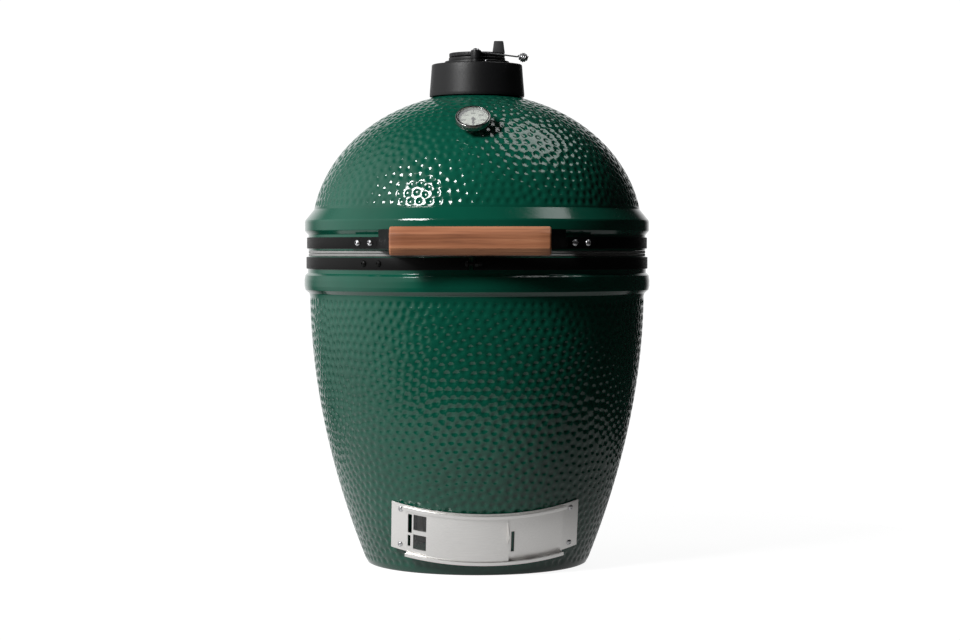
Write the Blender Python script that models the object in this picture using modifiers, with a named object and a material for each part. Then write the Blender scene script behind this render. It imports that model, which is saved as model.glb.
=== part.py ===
"""Kamado ceramic grill, as an assembly of separate pieces.

Metres, +Z up. The origin is the centre of the base's flat underside. The front, with the handle
and the draft door, faces -Y. The dome hinges at the back, on a pin along X.
"""

from math import asin, atan, cos, degrees, pi, radians, sin, sqrt, tan

import bmesh
import bpy
from mathutils import Euler, Matrix, Vector

# ---- driving dimensions --------------------------------------------------------------------
GAP = 0.0003  # left between pieces that touch
MERGE = 0.00005
RING_STEPS = 40  # sides of the large rings
STEP = 360 / RING_STEPS

# base: its radius falls away from the shoulder by a power of the distance below it
WALL = 0.025
BASE_R = 0.2595
BASE_TAPER = 0.0825
BASE_TAPER_HEIGHT = 0.406
BASE_TAPER_POWER = 1.92
BASE_SHOULDER_Z = 0.420
BASE_NECK_R = 0.2629
BASE_FLANGE_R = 0.2683
BASE_RIM_Z = 0.4755
RIM_INNER_R = 0.236
FLOOR_Z = 0.030

# felt seals between the rims
GASKET = 0.0039
GASKET_INNER_R = 0.240
LOWER_GASKET_Z = BASE_RIM_Z + GAP
UPPER_GASKET_Z = LOWER_GASKET_Z + GASKET + 0.0004

# dome: an ellipse turned round the axis
DOME_RIM_Z = UPPER_GASKET_Z + GASKET + GAP
DOME_NECK_R = 0.2620
DOME_FLANGE_R = 0.2675
DOME_A = 0.257
DOME_H = 0.219
DOME_CENTRE_Z = 0.510
DOME_PART_Z = 0.600
CHIMNEY_R = 0.062
CHIMNEY_BORE_R = 0.050
CHIMNEY_TOP_Z = 0.7635

# steel straps round the two necks
BAND_THICKNESS = 0.0020
BAND_GAP = 0.006  # between the two closing lugs
BAND_LUG = 0.013
LOWER_BAND_R = BASE_NECK_R + GAP + BAND_THICKNESS
LOWER_BAND_Z, LOWER_BAND_HEIGHT = 0.4655, 0.018
UPPER_BAND_R = DOME_NECK_R + GAP + BAND_THICKNESS
UPPER_BAND_Z, UPPER_BAND_HEIGHT = 0.4960, 0.017
BOLT_R = 0.0025
HOLE_R = BOLT_R + 0.0004

# wooden handle and its two brackets
HANDLE_LENGTH = 0.231
HANDLE_Z, HANDLE_HEIGHT = 0.49845, 0.0415
HANDLE_BACK_Y, HANDLE_DEPTH = -0.2921, 0.0305
HANDLE_CHAMFER, HANDLE_CHAMFER_DEPTH = 0.0102, 0.0085
BRACKET_SHEET = 0.0025
BRACKET_ELBOW = (0.1120, HANDLE_BACK_Y + GAP + BRACKET_SHEET / 2)
BRACKET_BOLT_ANGLES = (34.2, 39.4)
HANDLE_SCREW_X = 0.094

# hinge: a pin along X, with the springs' hook rod on the dome side
PIVOT_Y, PIVOT_Z = 0.300, 0.481
HOOK_ARM, HOOK_ANGLE = 0.030, 35.0
HOOK_Y = PIVOT_Y + HOOK_ARM * cos(radians(HOOK_ANGLE))
HOOK_Z = PIVOT_Z + HOOK_ARM * sin(radians(HOOK_ANGLE))
ANCHOR_Z = 0.368
CHEEK_SHEET = 0.003
LOWER_CHEEK_X, UPPER_CHEEK_X = 0.0495, 0.0435
ROD_R = 0.004
FOOT_SHEET = 0.003
FOOT_HALF_ANGLE = 14.0
FOOT_BOLT_ANGLE = 11.0
SPRING_X = 0.025
SPRING_COIL_R, SPRING_WIRE_R, SPRING_TURNS = 0.0075, 0.0012, 8
SPRING_LOOP_R = 0.0058

# vent cap on the chimney
CAP_SKIRT_Z, CAP_TOP_Z = 0.7230, 0.7730
CAP_SKIRT_R, CAP_SHOULDER_R = 0.0737, 0.0702
CAP_WALL = 0.004
RAISED_R, RAISED_Z = 0.050, 0.7780
CAP_HOLE_R = 0.036
LID_R, LID_Z, LID_THICKNESS = 0.0440, RAISED_Z + GAP, 0.0050
LID_PIVOT_Y = -0.052
EAR_R, EAR_TOP_Z = 0.0078, 0.7915
WHEEL_R, WHEEL_Z, WHEEL_THICKNESS = 0.0432, 0.7842, 0.0063
VENT_HOLES, VENT_HOLE_R, VENT_CIRCLE_R = 5, 0.0085, 0.026
NUB_X, NUB_TOP_Z = 0.0337, 0.8098
LEVER_WIRE_R = 0.0013
LEVER_COIL = (0.0725, LID_PIVOT_Y, 0.7800)
LEVER_COIL_R, LEVER_TURNS = 0.0062, 5

# draft door: sheets rolled round an axis that leans with the wall and turns with its yaw
DRAFT_Z = 0.0608
DRAFT_TILT, DRAFT_YAW = 19.2, 6.2
DRAFT_R = 0.220
FRAME_HALF_ANGLE, FRAME_HEIGHT, FRAME_SHEET = 39.2, 0.0755, 0.0015
WINDOW_FROM, WINDOW_TO = -31.5, -2.0
WINDOW_LOW, WINDOW_HIGH = -0.0315, 0.0285
SLIDE_LOW, SLIDE_HIGH = -0.0400, 0.0334
MESH_LAYER = (0.0019, 0.0023)
SCREEN_LAYER = (0.0026, 0.0036)
DOOR_LAYER = (0.0047, 0.0057)
LIP_LAYER = (0.0061, 0.0073)
TOP_RAIL, BOTTOM_RAIL, RAIL_WEB = (-33.4, 32.2), (-32.0, 31.4), 0.0016
SCREEN_REST, SCREEN_HALF = -15.65, 16.25
DOOR_REST, DOOR_HALF = -7.6, 15.85
DRAFT_SCREW_ANGLE, DRAFT_SCREW_Z = 35.0, 0.0290

# thermometer on the dome's front, square to its surface
DIAL_ELEVATION = 50.0
CASE_R, CASE_BACK, CASE_FACE = 0.0258, 0.0125, 0.0220
STEM_R, STEM_TIP = 0.0030, -0.078

# cooking parts
FIREBOX_TOP_Z, GRATE_LEDGE_Z = 0.2717, 0.112
RING_TOP_Z = 0.4550
GRID_R, GRID_Z = 0.2262, 0.4586

# ---- scene and materials --------------------------------------------------------------------
for old in list(bpy.data.objects):
    bpy.data.objects.remove(old, do_unlink=True)

PARTS = bpy.data.collections.new("kamado_ceramic_grill")
CUTTERS = bpy.data.collections.new("cutters")
for collection in (PARTS, CUTTERS):
    bpy.context.scene.collection.children.link(collection)


def principled(name, colour, roughness, metallic=0.0):
    material = bpy.data.materials.new(name)
    material.use_nodes = True
    shader = material.node_tree.nodes["Principled BSDF"]
    shader.inputs["Base Color"].default_value = (*colour, 1.0)
    shader.inputs["Roughness"].default_value = roughness
    shader.inputs["Metallic"].default_value = metallic
    return material


GLAZE = principled("green_glaze", (0.010, 0.095, 0.055), 0.12)
FIRECLAY = principled("fireclay", (0.52, 0.40, 0.29), 0.9)
FELT = principled("grey_felt", (0.62, 0.61, 0.58), 0.95)
BLACK_STEEL = principled("black_powder_coat", (0.018, 0.018, 0.020), 0.42)
ZINC = principled("zinc_fastener", (0.55, 0.55, 0.56), 0.35, 1.0)
STEEL = principled("brushed_stainless", (0.70, 0.69, 0.67), 0.30, 1.0)
SPRING_STEEL = principled("spring_steel", (0.42, 0.42, 0.43), 0.35, 1.0)
CAST_IRON = principled("cast_iron", (0.050, 0.048, 0.046), 0.75, 0.6)
WOOD = principled("oiled_hardwood", (0.45, 0.20, 0.095), 0.5)
SILICONE = principled("black_silicone", (0.020, 0.020, 0.022), 0.6)
DIAL_WHITE = principled("dial_white", (0.85, 0.84, 0.80), 0.5)
NEEDLE_BLACK = principled("needle_black", (0.02, 0.02, 0.02), 0.4)
GLASS = principled("clear_glass", (0.95, 0.97, 0.97), 0.03)


# ---- building blocks ------------------------------------------------------------------------
def add(name, mesh, material=None, collection=PARTS, matrix=None, parent=None):
    piece = bpy.data.objects.new(name, mesh)
    collection.objects.link(piece)
    if material:
        mesh.materials.append(material)
    if collection is CUTTERS:
        piece.hide_render = True
        piece.display_type = "WIRE"
    if parent:
        piece.parent = parent
    if matrix:
        piece.matrix_local = matrix
    return piece


def frame_at(name, location, rotation):
    """An empty that a group of pieces is built round."""
    empty = bpy.data.objects.new(name, None)
    PARTS.objects.link(empty)
    empty.location = location
    empty.rotation_euler = rotation
    return empty


def along(location, direction):
    """A placement whose +Z points along direction."""
    turn = Vector(direction).to_track_quat("Z", "Y")
    return Matrix.Translation(location) @ turn.to_matrix().to_4x4()


def basis(origin, x_axis, y_axis):
    """A placement with the given X and Y directions, which are at right angles."""
    x_axis, y_axis = Vector(x_axis).normalized(), Vector(y_axis).normalized()
    columns = Matrix((x_axis, y_axis, x_axis.cross(y_axis))).transposed()
    return Matrix.Translation(origin) @ columns.to_4x4()


def smooth(mesh, angle=35):
    mesh.shade_smooth()
    mesh.set_sharp_from_angle(angle=radians(angle))


def turned(name, profile, material=None, steps=RING_STEPS, closed=False, **placing):
    """A profile of (radius, z) turned round +Z. Its outer side runs down."""
    count = len(profile)
    edges = [(i, i + 1) for i in range(count - 1)]
    if closed:
        edges.append((count - 1, 0))
    mesh = bpy.data.meshes.new(name)
    mesh.from_pydata([(r, 0, z) for r, z in profile], edges, [])
    piece = add(name, mesh, material, **placing)
    screw = piece.modifiers.new("Turn", "SCREW")
    screw.axis = "Z"
    screw.steps = screw.render_steps = steps
    screw.use_merge_vertices = True
    screw.merge_threshold = MERGE
    screw.use_smooth_shade = True
    return piece


def polar(radius, angle, centre=(0.0, 0.0)):
    """A point in plan, its angle in degrees from -Y towards +X."""
    turn = radians(angle)
    return (centre[0] + radius * sin(turn), centre[1] - radius * cos(turn))


def arc(radius, start, end, steps, centre=(0.0, 0.0)):
    return [polar(radius, start + (end - start) * i / steps, centre) for i in range(steps + 1)]


def circle(radius, sides, centre=(0.0, 0.0)):
    return arc(radius, 0, 360 - 360 / sides, sides - 1, centre)


def sector(inner, outer, start, end, steps):
    return arc(outer, start, end, steps) + arc(inner, end, start, steps)


def hull(circles, sides=12):
    """The outline of a sheet stretched round circles of (x, y, radius)."""
    points = sorted({p for x, y, r in circles for p in circle(r, sides, (x, y))})

    def half(ordered):
        chain = []
        for p in ordered:
            while len(chain) > 1:
                (ax, ay), (bx, by) = chain[-2:]
                if (bx - ax) * (p[1] - ay) - (by - ay) * (p[0] - ax) > 1e-12:
                    break
                chain.pop()
            chain.append(p)
        return chain[:-1]

    return half(points) + half(points[::-1])


def strip(route, width):
    """The outline of a sheet of the given thickness bent along a route in plan."""
    left, right = [], []
    for i, (x, y) in enumerate(route):
        before = Vector(route[max(i - 1, 0)])
        after = Vector(route[min(i + 1, len(route) - 1)])
        here = Vector((x, y))
        into = (here - before).normalized() if i else (after - here).normalized()
        out = (after - here).normalized() if i < len(route) - 1 else into
        mitre = (into + out).normalized()
        reach = width / 2 / max(mitre.dot(into), 0.5)
        normal = Vector((-mitre.y, mitre.x)) * reach
        left.append(tuple(here + normal))
        right.append(tuple(here - normal))
    return left + right[::-1]


def from_curve(name, curve, material=None, **placing):
    """A curve's solid as a mesh, its caps welded on."""
    guide = bpy.data.objects.new(name + "_guide", curve)
    bpy.context.scene.collection.objects.link(guide)
    evaluated = guide.evaluated_get(bpy.context.evaluated_depsgraph_get())
    mesh = bpy.data.meshes.new_from_object(evaluated)
    bpy.data.objects.remove(guide)
    mesh.name = name
    shape = bmesh.new()
    shape.from_mesh(mesh)
    bmesh.ops.remove_doubles(shape, verts=shape.verts, dist=MERGE)
    bmesh.ops.recalc_face_normals(shape, faces=shape.faces)
    shape.to_mesh(mesh)
    shape.free()
    smooth(mesh)
    return add(name, mesh, material, **placing)


def plate(name, outlines, thickness, material=None, **placing):
    """A flat sheet in its own XY plane, its later outlines holes in the first."""
    curve = bpy.data.curves.new(name, "CURVE")
    curve.dimensions = "2D"
    curve.fill_mode = "BOTH"
    curve.extrude = thickness / 2
    for outline in outlines:
        spline = curve.splines.new("POLY")
        spline.points.add(len(outline) - 1)
        spline.use_cyclic_u = True
        for point, (x, y) in zip(spline.points, outline):
            point.co = (x, y, 0, 1)
    return from_curve(name, curve, material, **placing)


def wire(name, route, radius, material, **placing):
    """A round wire along a route of points."""
    curve = bpy.data.curves.new(name, "CURVE")
    curve.dimensions = "3D"
    curve.bevel_depth = radius
    curve.bevel_resolution = 0
    curve.use_fill_caps = True
    spline = curve.splines.new("POLY")
    spline.points.add(len(route) - 1)
    for point, co in zip(spline.points, route):
        point.co = (*co, 1)
    return from_curve(name, curve, material, **placing)


def box(name, size, material=None, taper=1.0, **placing):
    mesh = bpy.data.meshes.new(name)
    shape = bmesh.new()
    bmesh.ops.create_cube(shape, size=1)
    for vert in shape.verts:
        narrow = taper if vert.co.z > 0 else 1.0
        vert.co = Vector((vert.co.x * size[0] * narrow, vert.co.y * size[1] * narrow, vert.co.z * size[2]))
    shape.to_mesh(mesh)
    shape.free()
    return add(name, mesh, material, **placing)


def combine(piece, other, operation):
    modifier = piece.modifiers.new(operation.title(), "BOOLEAN")
    modifier.operation = operation
    modifier.object = other
    modifier.solver = "EXACT"


def bevel(piece, width, segments=1):
    modifier = piece.modifiers.new("Edges", "BEVEL")
    modifier.width = width
    modifier.segments = segments
    modifier.limit_method = "ANGLE"
    modifier.angle_limit = radians(40)


def drill(pieces, centre, direction, radius, length, sides=10, parent=None):
    """Cuts one round hole, centred on a point, through each of the pieces."""
    profile = [(0, length / 2), (radius, length / 2), (radius, -length / 2), (0, -length / 2)]
    name = f"drill_{len(CUTTERS.objects):02d}"
    tool = turned(
        name, profile, steps=sides, collection=CUTTERS, matrix=along(centre, direction), parent=parent
    )
    for piece in pieces:
        combine(piece, tool, "DIFFERENCE")


def bolt(name, head_r, head_height, shank_r, length, at, outward, material=ZINC, sides=10, parent=None):
    """A domed head that stands outward from a point, with its shank behind it."""
    profile = [
        (0, head_height),
        (head_r * 0.7, head_height * 0.85),
        (head_r, 0),
        (shank_r, 0),
        (shank_r, -length),
        (0, -length),
    ]
    return turned(name, profile, material, steps=sides, matrix=along(at, outward), parent=parent)


def radial(radius, angle, z):
    """A point on a cylinder round the grill's axis, and the way out of it there."""
    x, y = polar(radius, angle)
    return Vector((x, y, z)), Vector((x, y, 0)).normalized()


# ---- ceramic shells and what stands inside them ---------------------------------------------
def base_radius(z):
    drop = (BASE_SHOULDER_Z - z) / BASE_TAPER_HEIGHT
    return BASE_R - BASE_TAPER * drop**BASE_TAPER_POWER


def base_inner_radius(z):
    return min(base_radius(z) - WALL, RIM_INNER_R)


def base_shell():
    inner = [(0, FLOOR_Z), (0.156, FLOOR_Z)]
    inner += [(base_inner_radius(z), z) for z in (0.036, 0.13, 0.23, 0.36)]
    rim = [(RIM_INNER_R, BASE_RIM_Z), (BASE_NECK_R - 0.001, BASE_RIM_Z), (BASE_NECK_R, BASE_RIM_Z - 0.001)]
    flange = [
        (BASE_NECK_R, 0.4500),
        (BASE_FLANGE_R - 0.0015, 0.4460),
        (BASE_FLANGE_R, 0.4390),
        (BASE_FLANGE_R, 0.4300),
        (BASE_FLANGE_R - 0.0015, 0.4240),
        (BASE_R + 0.0015, 0.4185),
    ]
    heights = [0.411 - 0.068 * i for i in range(7)]
    wall = [(base_radius(z), z) for z in heights]
    underside = [(base_radius(0) - 0.003, 0), (0, 0)]
    return turned("base_shell", inner + rim + flange + wall + underside, GLAZE)


def dome_shells():
    """The dome in two nodes, parted level at DOME_PART_Z so that each is a simple ring."""

    def ellipse(inset, angle):
        turn = radians(angle)
        return ((DOME_A - inset) * cos(turn), DOME_CENTRE_Z + (DOME_H - inset) * sin(turn))

    def parting(inset, z):
        return degrees(asin((z - DOME_CENTRE_Z) / (DOME_H - inset)))

    above, below = DOME_PART_Z + GAP / 2, DOME_PART_Z - GAP / 2
    chimney = [
        (CHIMNEY_R - 0.002, CHIMNEY_TOP_Z),
        (CHIMNEY_R, CHIMNEY_TOP_Z - 0.002),
        (CHIMNEY_R, 0.7285),
        (CHIMNEY_R + 0.002, 0.7240),
    ]
    crown = [ellipse(0, angle) for angle in (74, 65, 56, 47, 38, 31, parting(0, above))]
    bore_angle = degrees(pi / 2 - atan(CHIMNEY_BORE_R / (DOME_A - WALL)))
    vault = [ellipse(WALL, angle) for angle in (parting(WALL, above), 43, 59, bore_angle)]
    bore = [(CHIMNEY_BORE_R, CHIMNEY_TOP_Z)]
    upper = turned("dome_crown_shell", chimney + crown + vault + bore, GLAZE, closed=True)

    skirt = [ellipse(0, angle) for angle in (parting(0, below), 16, 7.8)]
    flange = [
        (0.2572, 0.5365),
        (0.2625, 0.5333),
        (DOME_FLANGE_R - 0.0015, 0.5318),
        (DOME_FLANGE_R, 0.5290),
        (DOME_FLANGE_R, 0.5190),
        (DOME_FLANGE_R - 0.0015, 0.5135),
        (DOME_NECK_R, 0.5085),
    ]
    rim = [(DOME_NECK_R, DOME_RIM_Z + 0.001), (DOME_NECK_R - 0.001, DOME_RIM_Z), (RIM_INNER_R, DOME_RIM_Z)]
    inside = [ellipse(WALL, angle) for angle in (3, 15.5, parting(WALL, below))]
    turned("dome_shell", skirt + flange + rim + inside, GLAZE, closed=True)
    return upper


def gasket(name, z):
    outer = BASE_NECK_R - 0.0012
    profile = [(outer, z + GASKET), (outer, z), (GASKET_INNER_R, z), (GASKET_INNER_R, z + GASKET)]
    return turned(name, profile, FELT, closed=True)


def firebox():
    profile = [
        (0.196, FIREBOX_TOP_Z),
        (0.1495, FLOOR_Z + 0.006),
        (0.1445, FLOOR_Z + GAP),
        (0.112, FLOOR_Z + GAP),
        (0.120, GRATE_LEDGE_Z),
        (0.1445, GRATE_LEDGE_Z),
        (0.176, FIREBOX_TOP_Z),
    ]
    piece = turned("firebox", profile, FIRECLAY, steps=36, closed=True)
    middle = DRAFT_YAW + (WINDOW_FROM + WINDOW_TO) / 2 * DRAFT_R / base_radius(DRAFT_Z)
    at, outward = radial(0.135, middle, 0.070)
    facing = basis(at, (-outward.y, outward.x, 0), (0, 0, 1))
    mouth = box("firebox_mouth", (0.090, 0.052, 0.080), collection=CUTTERS, matrix=facing)
    combine(piece, mouth, "DIFFERENCE")
    return piece


def fire_ring():
    foot = FIREBOX_TOP_Z + GAP
    profile = [
        (0.229, RING_TOP_Z),
        (0.229, 0.440),
        (0.203, foot),
        (0.179, foot),
        (0.206, RING_TOP_Z),
    ]
    return turned("fire_ring", profile, FIRECLAY, steps=36, closed=True)


def fire_grate():
    outlines = [circle(0.141, 30)]
    for count, ring_r in ((6, 0.044), (12, 0.096)):
        outlines += [circle(0.0115, 8, polar(ring_r, 360 * i / count)) for i in range(count)]
    at = Matrix.Translation((0, 0, GRATE_LEDGE_Z + GAP + 0.004))
    return plate("fire_grate", outlines, 0.008, CAST_IRON, matrix=at)


def cooking_grid():
    """A round wire frame with parallel bars across it and two cross members below them."""
    rim = bpy.data.meshes.new("cooking_grid")
    shape = bmesh.new()
    ring = bmesh.ops.create_circle(shape, radius=0.003, segments=6)["verts"]
    bmesh.ops.rotate(shape, verts=ring, cent=(0, 0, 0), matrix=Euler((pi / 2, 0, 0)).to_matrix())
    bmesh.ops.translate(shape, verts=ring, vec=(GRID_R, 0, 0))
    shape.to_mesh(rim)
    shape.free()
    piece = add("cooking_grid", rim, STEEL, matrix=Matrix.Translation((0, 0, GRID_Z)))
    screw = piece.modifiers.new("Turn", "SCREW")
    screw.axis = "Z"
    screw.steps = screw.render_steps = 30
    screw.use_merge_vertices = True
    screw.merge_threshold = MERGE
    screw.use_normal_flip = True
    bars, spacing, reach = 15, 0.0275, GRID_R - 0.0005

    def rods(name, offsets, radius, z, across):
        tools = bmesh.new()
        for offset in offsets:
            half = sqrt(reach**2 - offset**2)
            cone = bmesh.ops.create_cone(
                tools, cap_ends=True, segments=6, radius1=radius, radius2=radius, depth=2 * half
            )["verts"]
            turn = Euler((pi / 2, 0, 0)) if across else Euler((0, pi / 2, 0))
            place = (offset, 0, z) if across else (0, offset, z)
            bmesh.ops.rotate(tools, verts=cone, cent=(0, 0, 0), matrix=turn.to_matrix())
            bmesh.ops.translate(tools, verts=cone, vec=place)
        mesh = bpy.data.meshes.new(name)
        tools.to_mesh(mesh)
        tools.free()
        combine(piece, add(name, mesh, collection=CUTTERS), "UNION")

    rods("grid_cross_members", (-0.09, 0.09), 0.0026, GRID_Z - 0.0002, False)
    rods("grid_bars", [spacing * (i - (bars - 1) / 2) for i in range(bars)], 0.0020, GRID_Z + 0.0029, True)
    return piece


# ---- straps, handle and brackets ------------------------------------------------------------
def band(name, outer, z, height):
    """A strap split at the front, with its two ends turned out into closing lugs."""
    inner = outer - BAND_THICKNESS
    near, far = BAND_GAP / 2, BAND_GAP / 2 + BAND_THICKNESS
    tip = -(outer + BAND_LUG)

    def on(radius, x):
        return (x, -sqrt(radius**2 - x**2))

    right = [on(inner, near), (near, tip), (far, tip), on(outer, far)]
    left = [(-x, y) for x, y in right[::-1]]
    outside = [polar(outer, k * STEP) for k in range(1, RING_STEPS)]
    inside = [polar(inner, k * STEP) for k in range(1, RING_STEPS)]
    outline = right + outside + left + inside[::-1]
    return plate(name, [outline], height, BLACK_STEEL, matrix=Matrix.Translation((0, 0, z)))


def band_closure(name, strap, outer, z):
    """The screw and nut that pull a strap's lugs together."""
    at = Vector((-(BAND_GAP / 2 + BAND_THICKNESS) - GAP, -(outer + BAND_LUG * 0.55), z))
    bolt(name + "_bolt", 0.0045, 0.0035, BOLT_R, 0.021, at, (-1, 0, 0), BLACK_STEEL)
    drill([strap], (0, at.y, z), (1, 0, 0), HOLE_R, 0.016)
    start, depth = -at.x, 0.0042
    nut = turned(
        name + "_nut",
        [(0.0046, depth), (0.0046, 0), (HOLE_R, 0), (HOLE_R, depth)],
        BLACK_STEEL,
        steps=6,
        closed=True,
        matrix=along((start, at.y, z), (1, 0, 0)),
    )
    return nut


def handle():
    """A hardwood bar: a long octagon with deep front chamfers, extruded along X."""
    top = HANDLE_HEIGHT / 2
    back, front = HANDLE_BACK_Y, HANDLE_BACK_Y - HANDLE_DEPTH
    outline = [
        (back, top - 0.002),
        (back - 0.002, top),
        (front + HANDLE_CHAMFER_DEPTH, top),
        (front, top - HANDLE_CHAMFER),
    ]
    outline += [(y, -z) for y, z in outline[::-1]]
    piece = plate(
        "handle", [outline], HANDLE_LENGTH, WOOD, matrix=basis((0, 0, HANDLE_Z), (0, 1, 0), (0, 0, 1))
    )
    bevel(piece, 0.0022)
    return piece


def handle_bracket(side, bar):
    """A bent steel bracket from the upper strap out to the back of the handle."""
    name = "handle_bracket_" + ("left" if side < 0 else "right")
    foot_r = UPPER_BAND_R + GAP + BRACKET_SHEET / 2
    foot = arc(foot_r, 42.5, 31.5, 4)
    elbow = Vector(BRACKET_ELBOW)
    start = Vector(foot[-1])
    route = foot + [tuple(elbow), (0.084, elbow.y)]
    tall = [tuple(start.lerp(elbow, 0.12)), tuple(elbow), (0.084, elbow.y)]
    mirror = [[(side * x, y) for x, y in points] for points in (route, tall)]
    piece = plate(
        name,
        [strip(mirror[0], BRACKET_SHEET)],
        0.0160,
        BLACK_STEEL,
        matrix=Matrix.Translation((0, 0, UPPER_BAND_Z)),
    )
    wing = plate(
        name + "_wing",
        [strip(mirror[1], BRACKET_SHEET - 0.0001)],
        0.0285,
        collection=CUTTERS,
        matrix=Matrix.Translation((0, 0, UPPER_BAND_Z + 0.0055)),
    )
    combine(piece, wing, "UNION")
    screw_at = Vector((side * HANDLE_SCREW_X, elbow.y + BRACKET_SHEET / 2 + GAP, HANDLE_Z))
    bolt(
        "handle_screw_" + ("left" if side < 0 else "right"),
        0.0055,
        0.0030,
        BOLT_R,
        0.017,
        screw_at,
        (0, 1, 0),
    )
    drill([piece, bar], screw_at - Vector((0, 0.0078, 0)), (0, 1, 0), HOLE_R, 0.0200)
    return piece


def strap_bolt(name, pieces, head_radius, angle, z, reach, material=BLACK_STEEL):
    """A bolt square to the grill's axis through a bracket and its strap."""
    at, outward = radial(head_radius, angle, z)
    bolt(name, 0.0050, 0.0032, BOLT_R, reach, at, outward, material)
    drill(pieces, at - outward * reach / 2, outward, HOLE_R, reach + 0.004)


# ---- hinge ----------------------------------------------------------------------------------
def hinge_bracket(name, strap_r, z, cheek_x, circles):
    """A curved foot on a strap, with two cheeks that reach back to the pivot."""
    foot_r = strap_r + GAP + FOOT_SHEET / 2
    foot = strip(arc(foot_r, 180 - FOOT_HALF_ANGLE, 180 + FOOT_HALF_ANGLE, 12), FOOT_SHEET)
    piece = plate(name, [foot], 0.016, BLACK_STEEL, matrix=Matrix.Translation((0, 0, z)))
    root_y = sqrt(foot_r**2 - cheek_x**2)
    for side in (-1, 1):
        cheek = plate(
            f"{name}_cheek_{side}",
            [hull([(root_y, z - 0.0065, 0.0008), (root_y, z + 0.0065, 0.0008), *circles])],
            CHEEK_SHEET,
            collection=CUTTERS,
            matrix=basis((side * cheek_x, 0, 0), (0, 1, 0), (0, 0, 1)),
        )
        combine(piece, cheek, "UNION")
    return piece


def rod(name, y, z, half_length, head, brackets, material=ZINC):
    """A round rod along X through the cheeks, with a head on its left end if head is set."""
    profile = [(0, half_length), (ROD_R, half_length)]
    if head:
        profile += [(ROD_R, -half_length), (head, -half_length), (head, -half_length - 0.003)]
        profile += [(0, -half_length - 0.003)]
    else:
        profile += [(ROD_R, -half_length), (0, -half_length)]
    turned(name, profile, material, steps=16, matrix=along((0, y, z), (1, 0, 0)))
    drill(brackets, (0, y, z), (1, 0, 0), ROD_R + 0.0003, 0.12, sides=16)


def spring_route(x):
    """A loop round the anchor rod, an open coil, and a loop round the hook rod."""
    length, lead = HOOK_Z - ANCHOR_Z, SPRING_LOOP_R + 0.003

    def loop(z, start, end):
        turns = [radians(start + (end - start) * i / 7) for i in range(8)]
        return [(x, HOOK_Y + SPRING_LOOP_R * sin(a), z + SPRING_LOOP_R * cos(a)) for a in turns]

    per_turn = 7
    count = SPRING_TURNS * per_turn
    coil = []
    for i in range(count + 1):
        turn = 2 * pi * i / per_turn
        z = ANCHOR_Z + lead + (length - 2 * lead) * i / count
        coil.append((x + SPRING_COIL_R * cos(turn), HOOK_Y + SPRING_COIL_R * sin(turn), z))
    return loop(ANCHOR_Z, 70, 360) + coil + loop(HOOK_Z, 180, 470)


# ---- vent cap -------------------------------------------------------------------------------
def vent_cap_body():
    under = CAP_TOP_Z - CAP_WALL
    profile = [
        (RAISED_R - 0.0006, RAISED_Z),
        (RAISED_R, RAISED_Z - 0.0006),
        (RAISED_R, CAP_TOP_Z),
        (CAP_SHOULDER_R - 0.003, CAP_TOP_Z),
        (CAP_SHOULDER_R, CAP_TOP_Z - 0.002),
        (CAP_SKIRT_R, CAP_SKIRT_Z),
        (CAP_SKIRT_R - CAP_WALL, CAP_SKIRT_Z),
        (CAP_SHOULDER_R - CAP_WALL, under),
        (CAP_HOLE_R, under),
        (CAP_HOLE_R, RAISED_Z),
    ]
    piece = turned("vent_cap_body", profile, BLACK_STEEL, steps=32, closed=True)
    post_height = RAISED_Z - under
    post = turned(
        "cap_post",
        [(0, post_height), (EAR_R, post_height), (EAR_R, 0.001), (0, 0.001)],
        steps=16,
        collection=CUTTERS,
        matrix=Matrix.Translation((0, LID_PIVOT_Y, under)),
    )
    combine(piece, post, "UNION")
    return piece


def vent_openings(turn):
    return [
        circle(VENT_HOLE_R, 10, polar(VENT_CIRCLE_R, turn + 360 * i / VENT_HOLES)) for i in range(VENT_HOLES)
    ]


def vent_lid():
    outline = hull([(0, 0, LID_R), (0, LID_PIVOT_Y, EAR_R)], sides=36)
    middle = LID_Z + LID_THICKNESS / 2
    lid = plate(
        "vent_lid",
        [outline, *vent_openings(90)],
        LID_THICKNESS,
        BLACK_STEEL,
        matrix=Matrix.Translation((0, 0, middle)),
    )
    height = EAR_TOP_Z - LID_Z - 0.001
    ear = turned(
        "lid_ear",
        [(0, height), (EAR_R - 0.001, height), (EAR_R - 0.0002, height - 0.001), (EAR_R - 0.0002, 0), (0, 0)],
        steps=16,
        collection=CUTTERS,
        matrix=Matrix.Translation((0, LID_PIVOT_Y, LID_Z + 0.001)),
    )
    combine(lid, ear, "UNION")
    return lid


def vent_wheel():
    outline = circle(WHEEL_R, 32)
    at = Matrix.Translation((0, 0, WHEEL_Z + WHEEL_THICKNESS / 2))
    return plate("vent_wheel", [outline, *vent_openings(54)], WHEEL_THICKNESS, BLACK_STEEL, matrix=at)


def lever_route():
    """A straight wire from the ear, ending in a round coil whose turns swell and shrink."""
    start = Vector((EAR_R + 0.0005, LID_PIVOT_Y, 0.7885))
    centre = Vector(LEVER_COIL)
    across = (centre - start).normalized()
    side = across.cross(Vector((0, 1, 0))).normalized()
    route = [start, centre - across * (LEVER_COIL_R + 0.003)]
    per_turn, count = 7, 7 * LEVER_TURNS
    for i in range(count + 1):
        share = i / count
        swell = LEVER_COIL_R * (0.25 + 0.75 * sin(pi * (0.06 + 0.88 * share)))
        turn = 2 * pi * i / per_turn
        spot = centre + across * (share - 0.5) * 0.0135
        route.append(spot + side * swell * cos(turn) + Vector((0, 1, 0)) * swell * sin(turn))
    return [tuple(p) for p in route]


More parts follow.
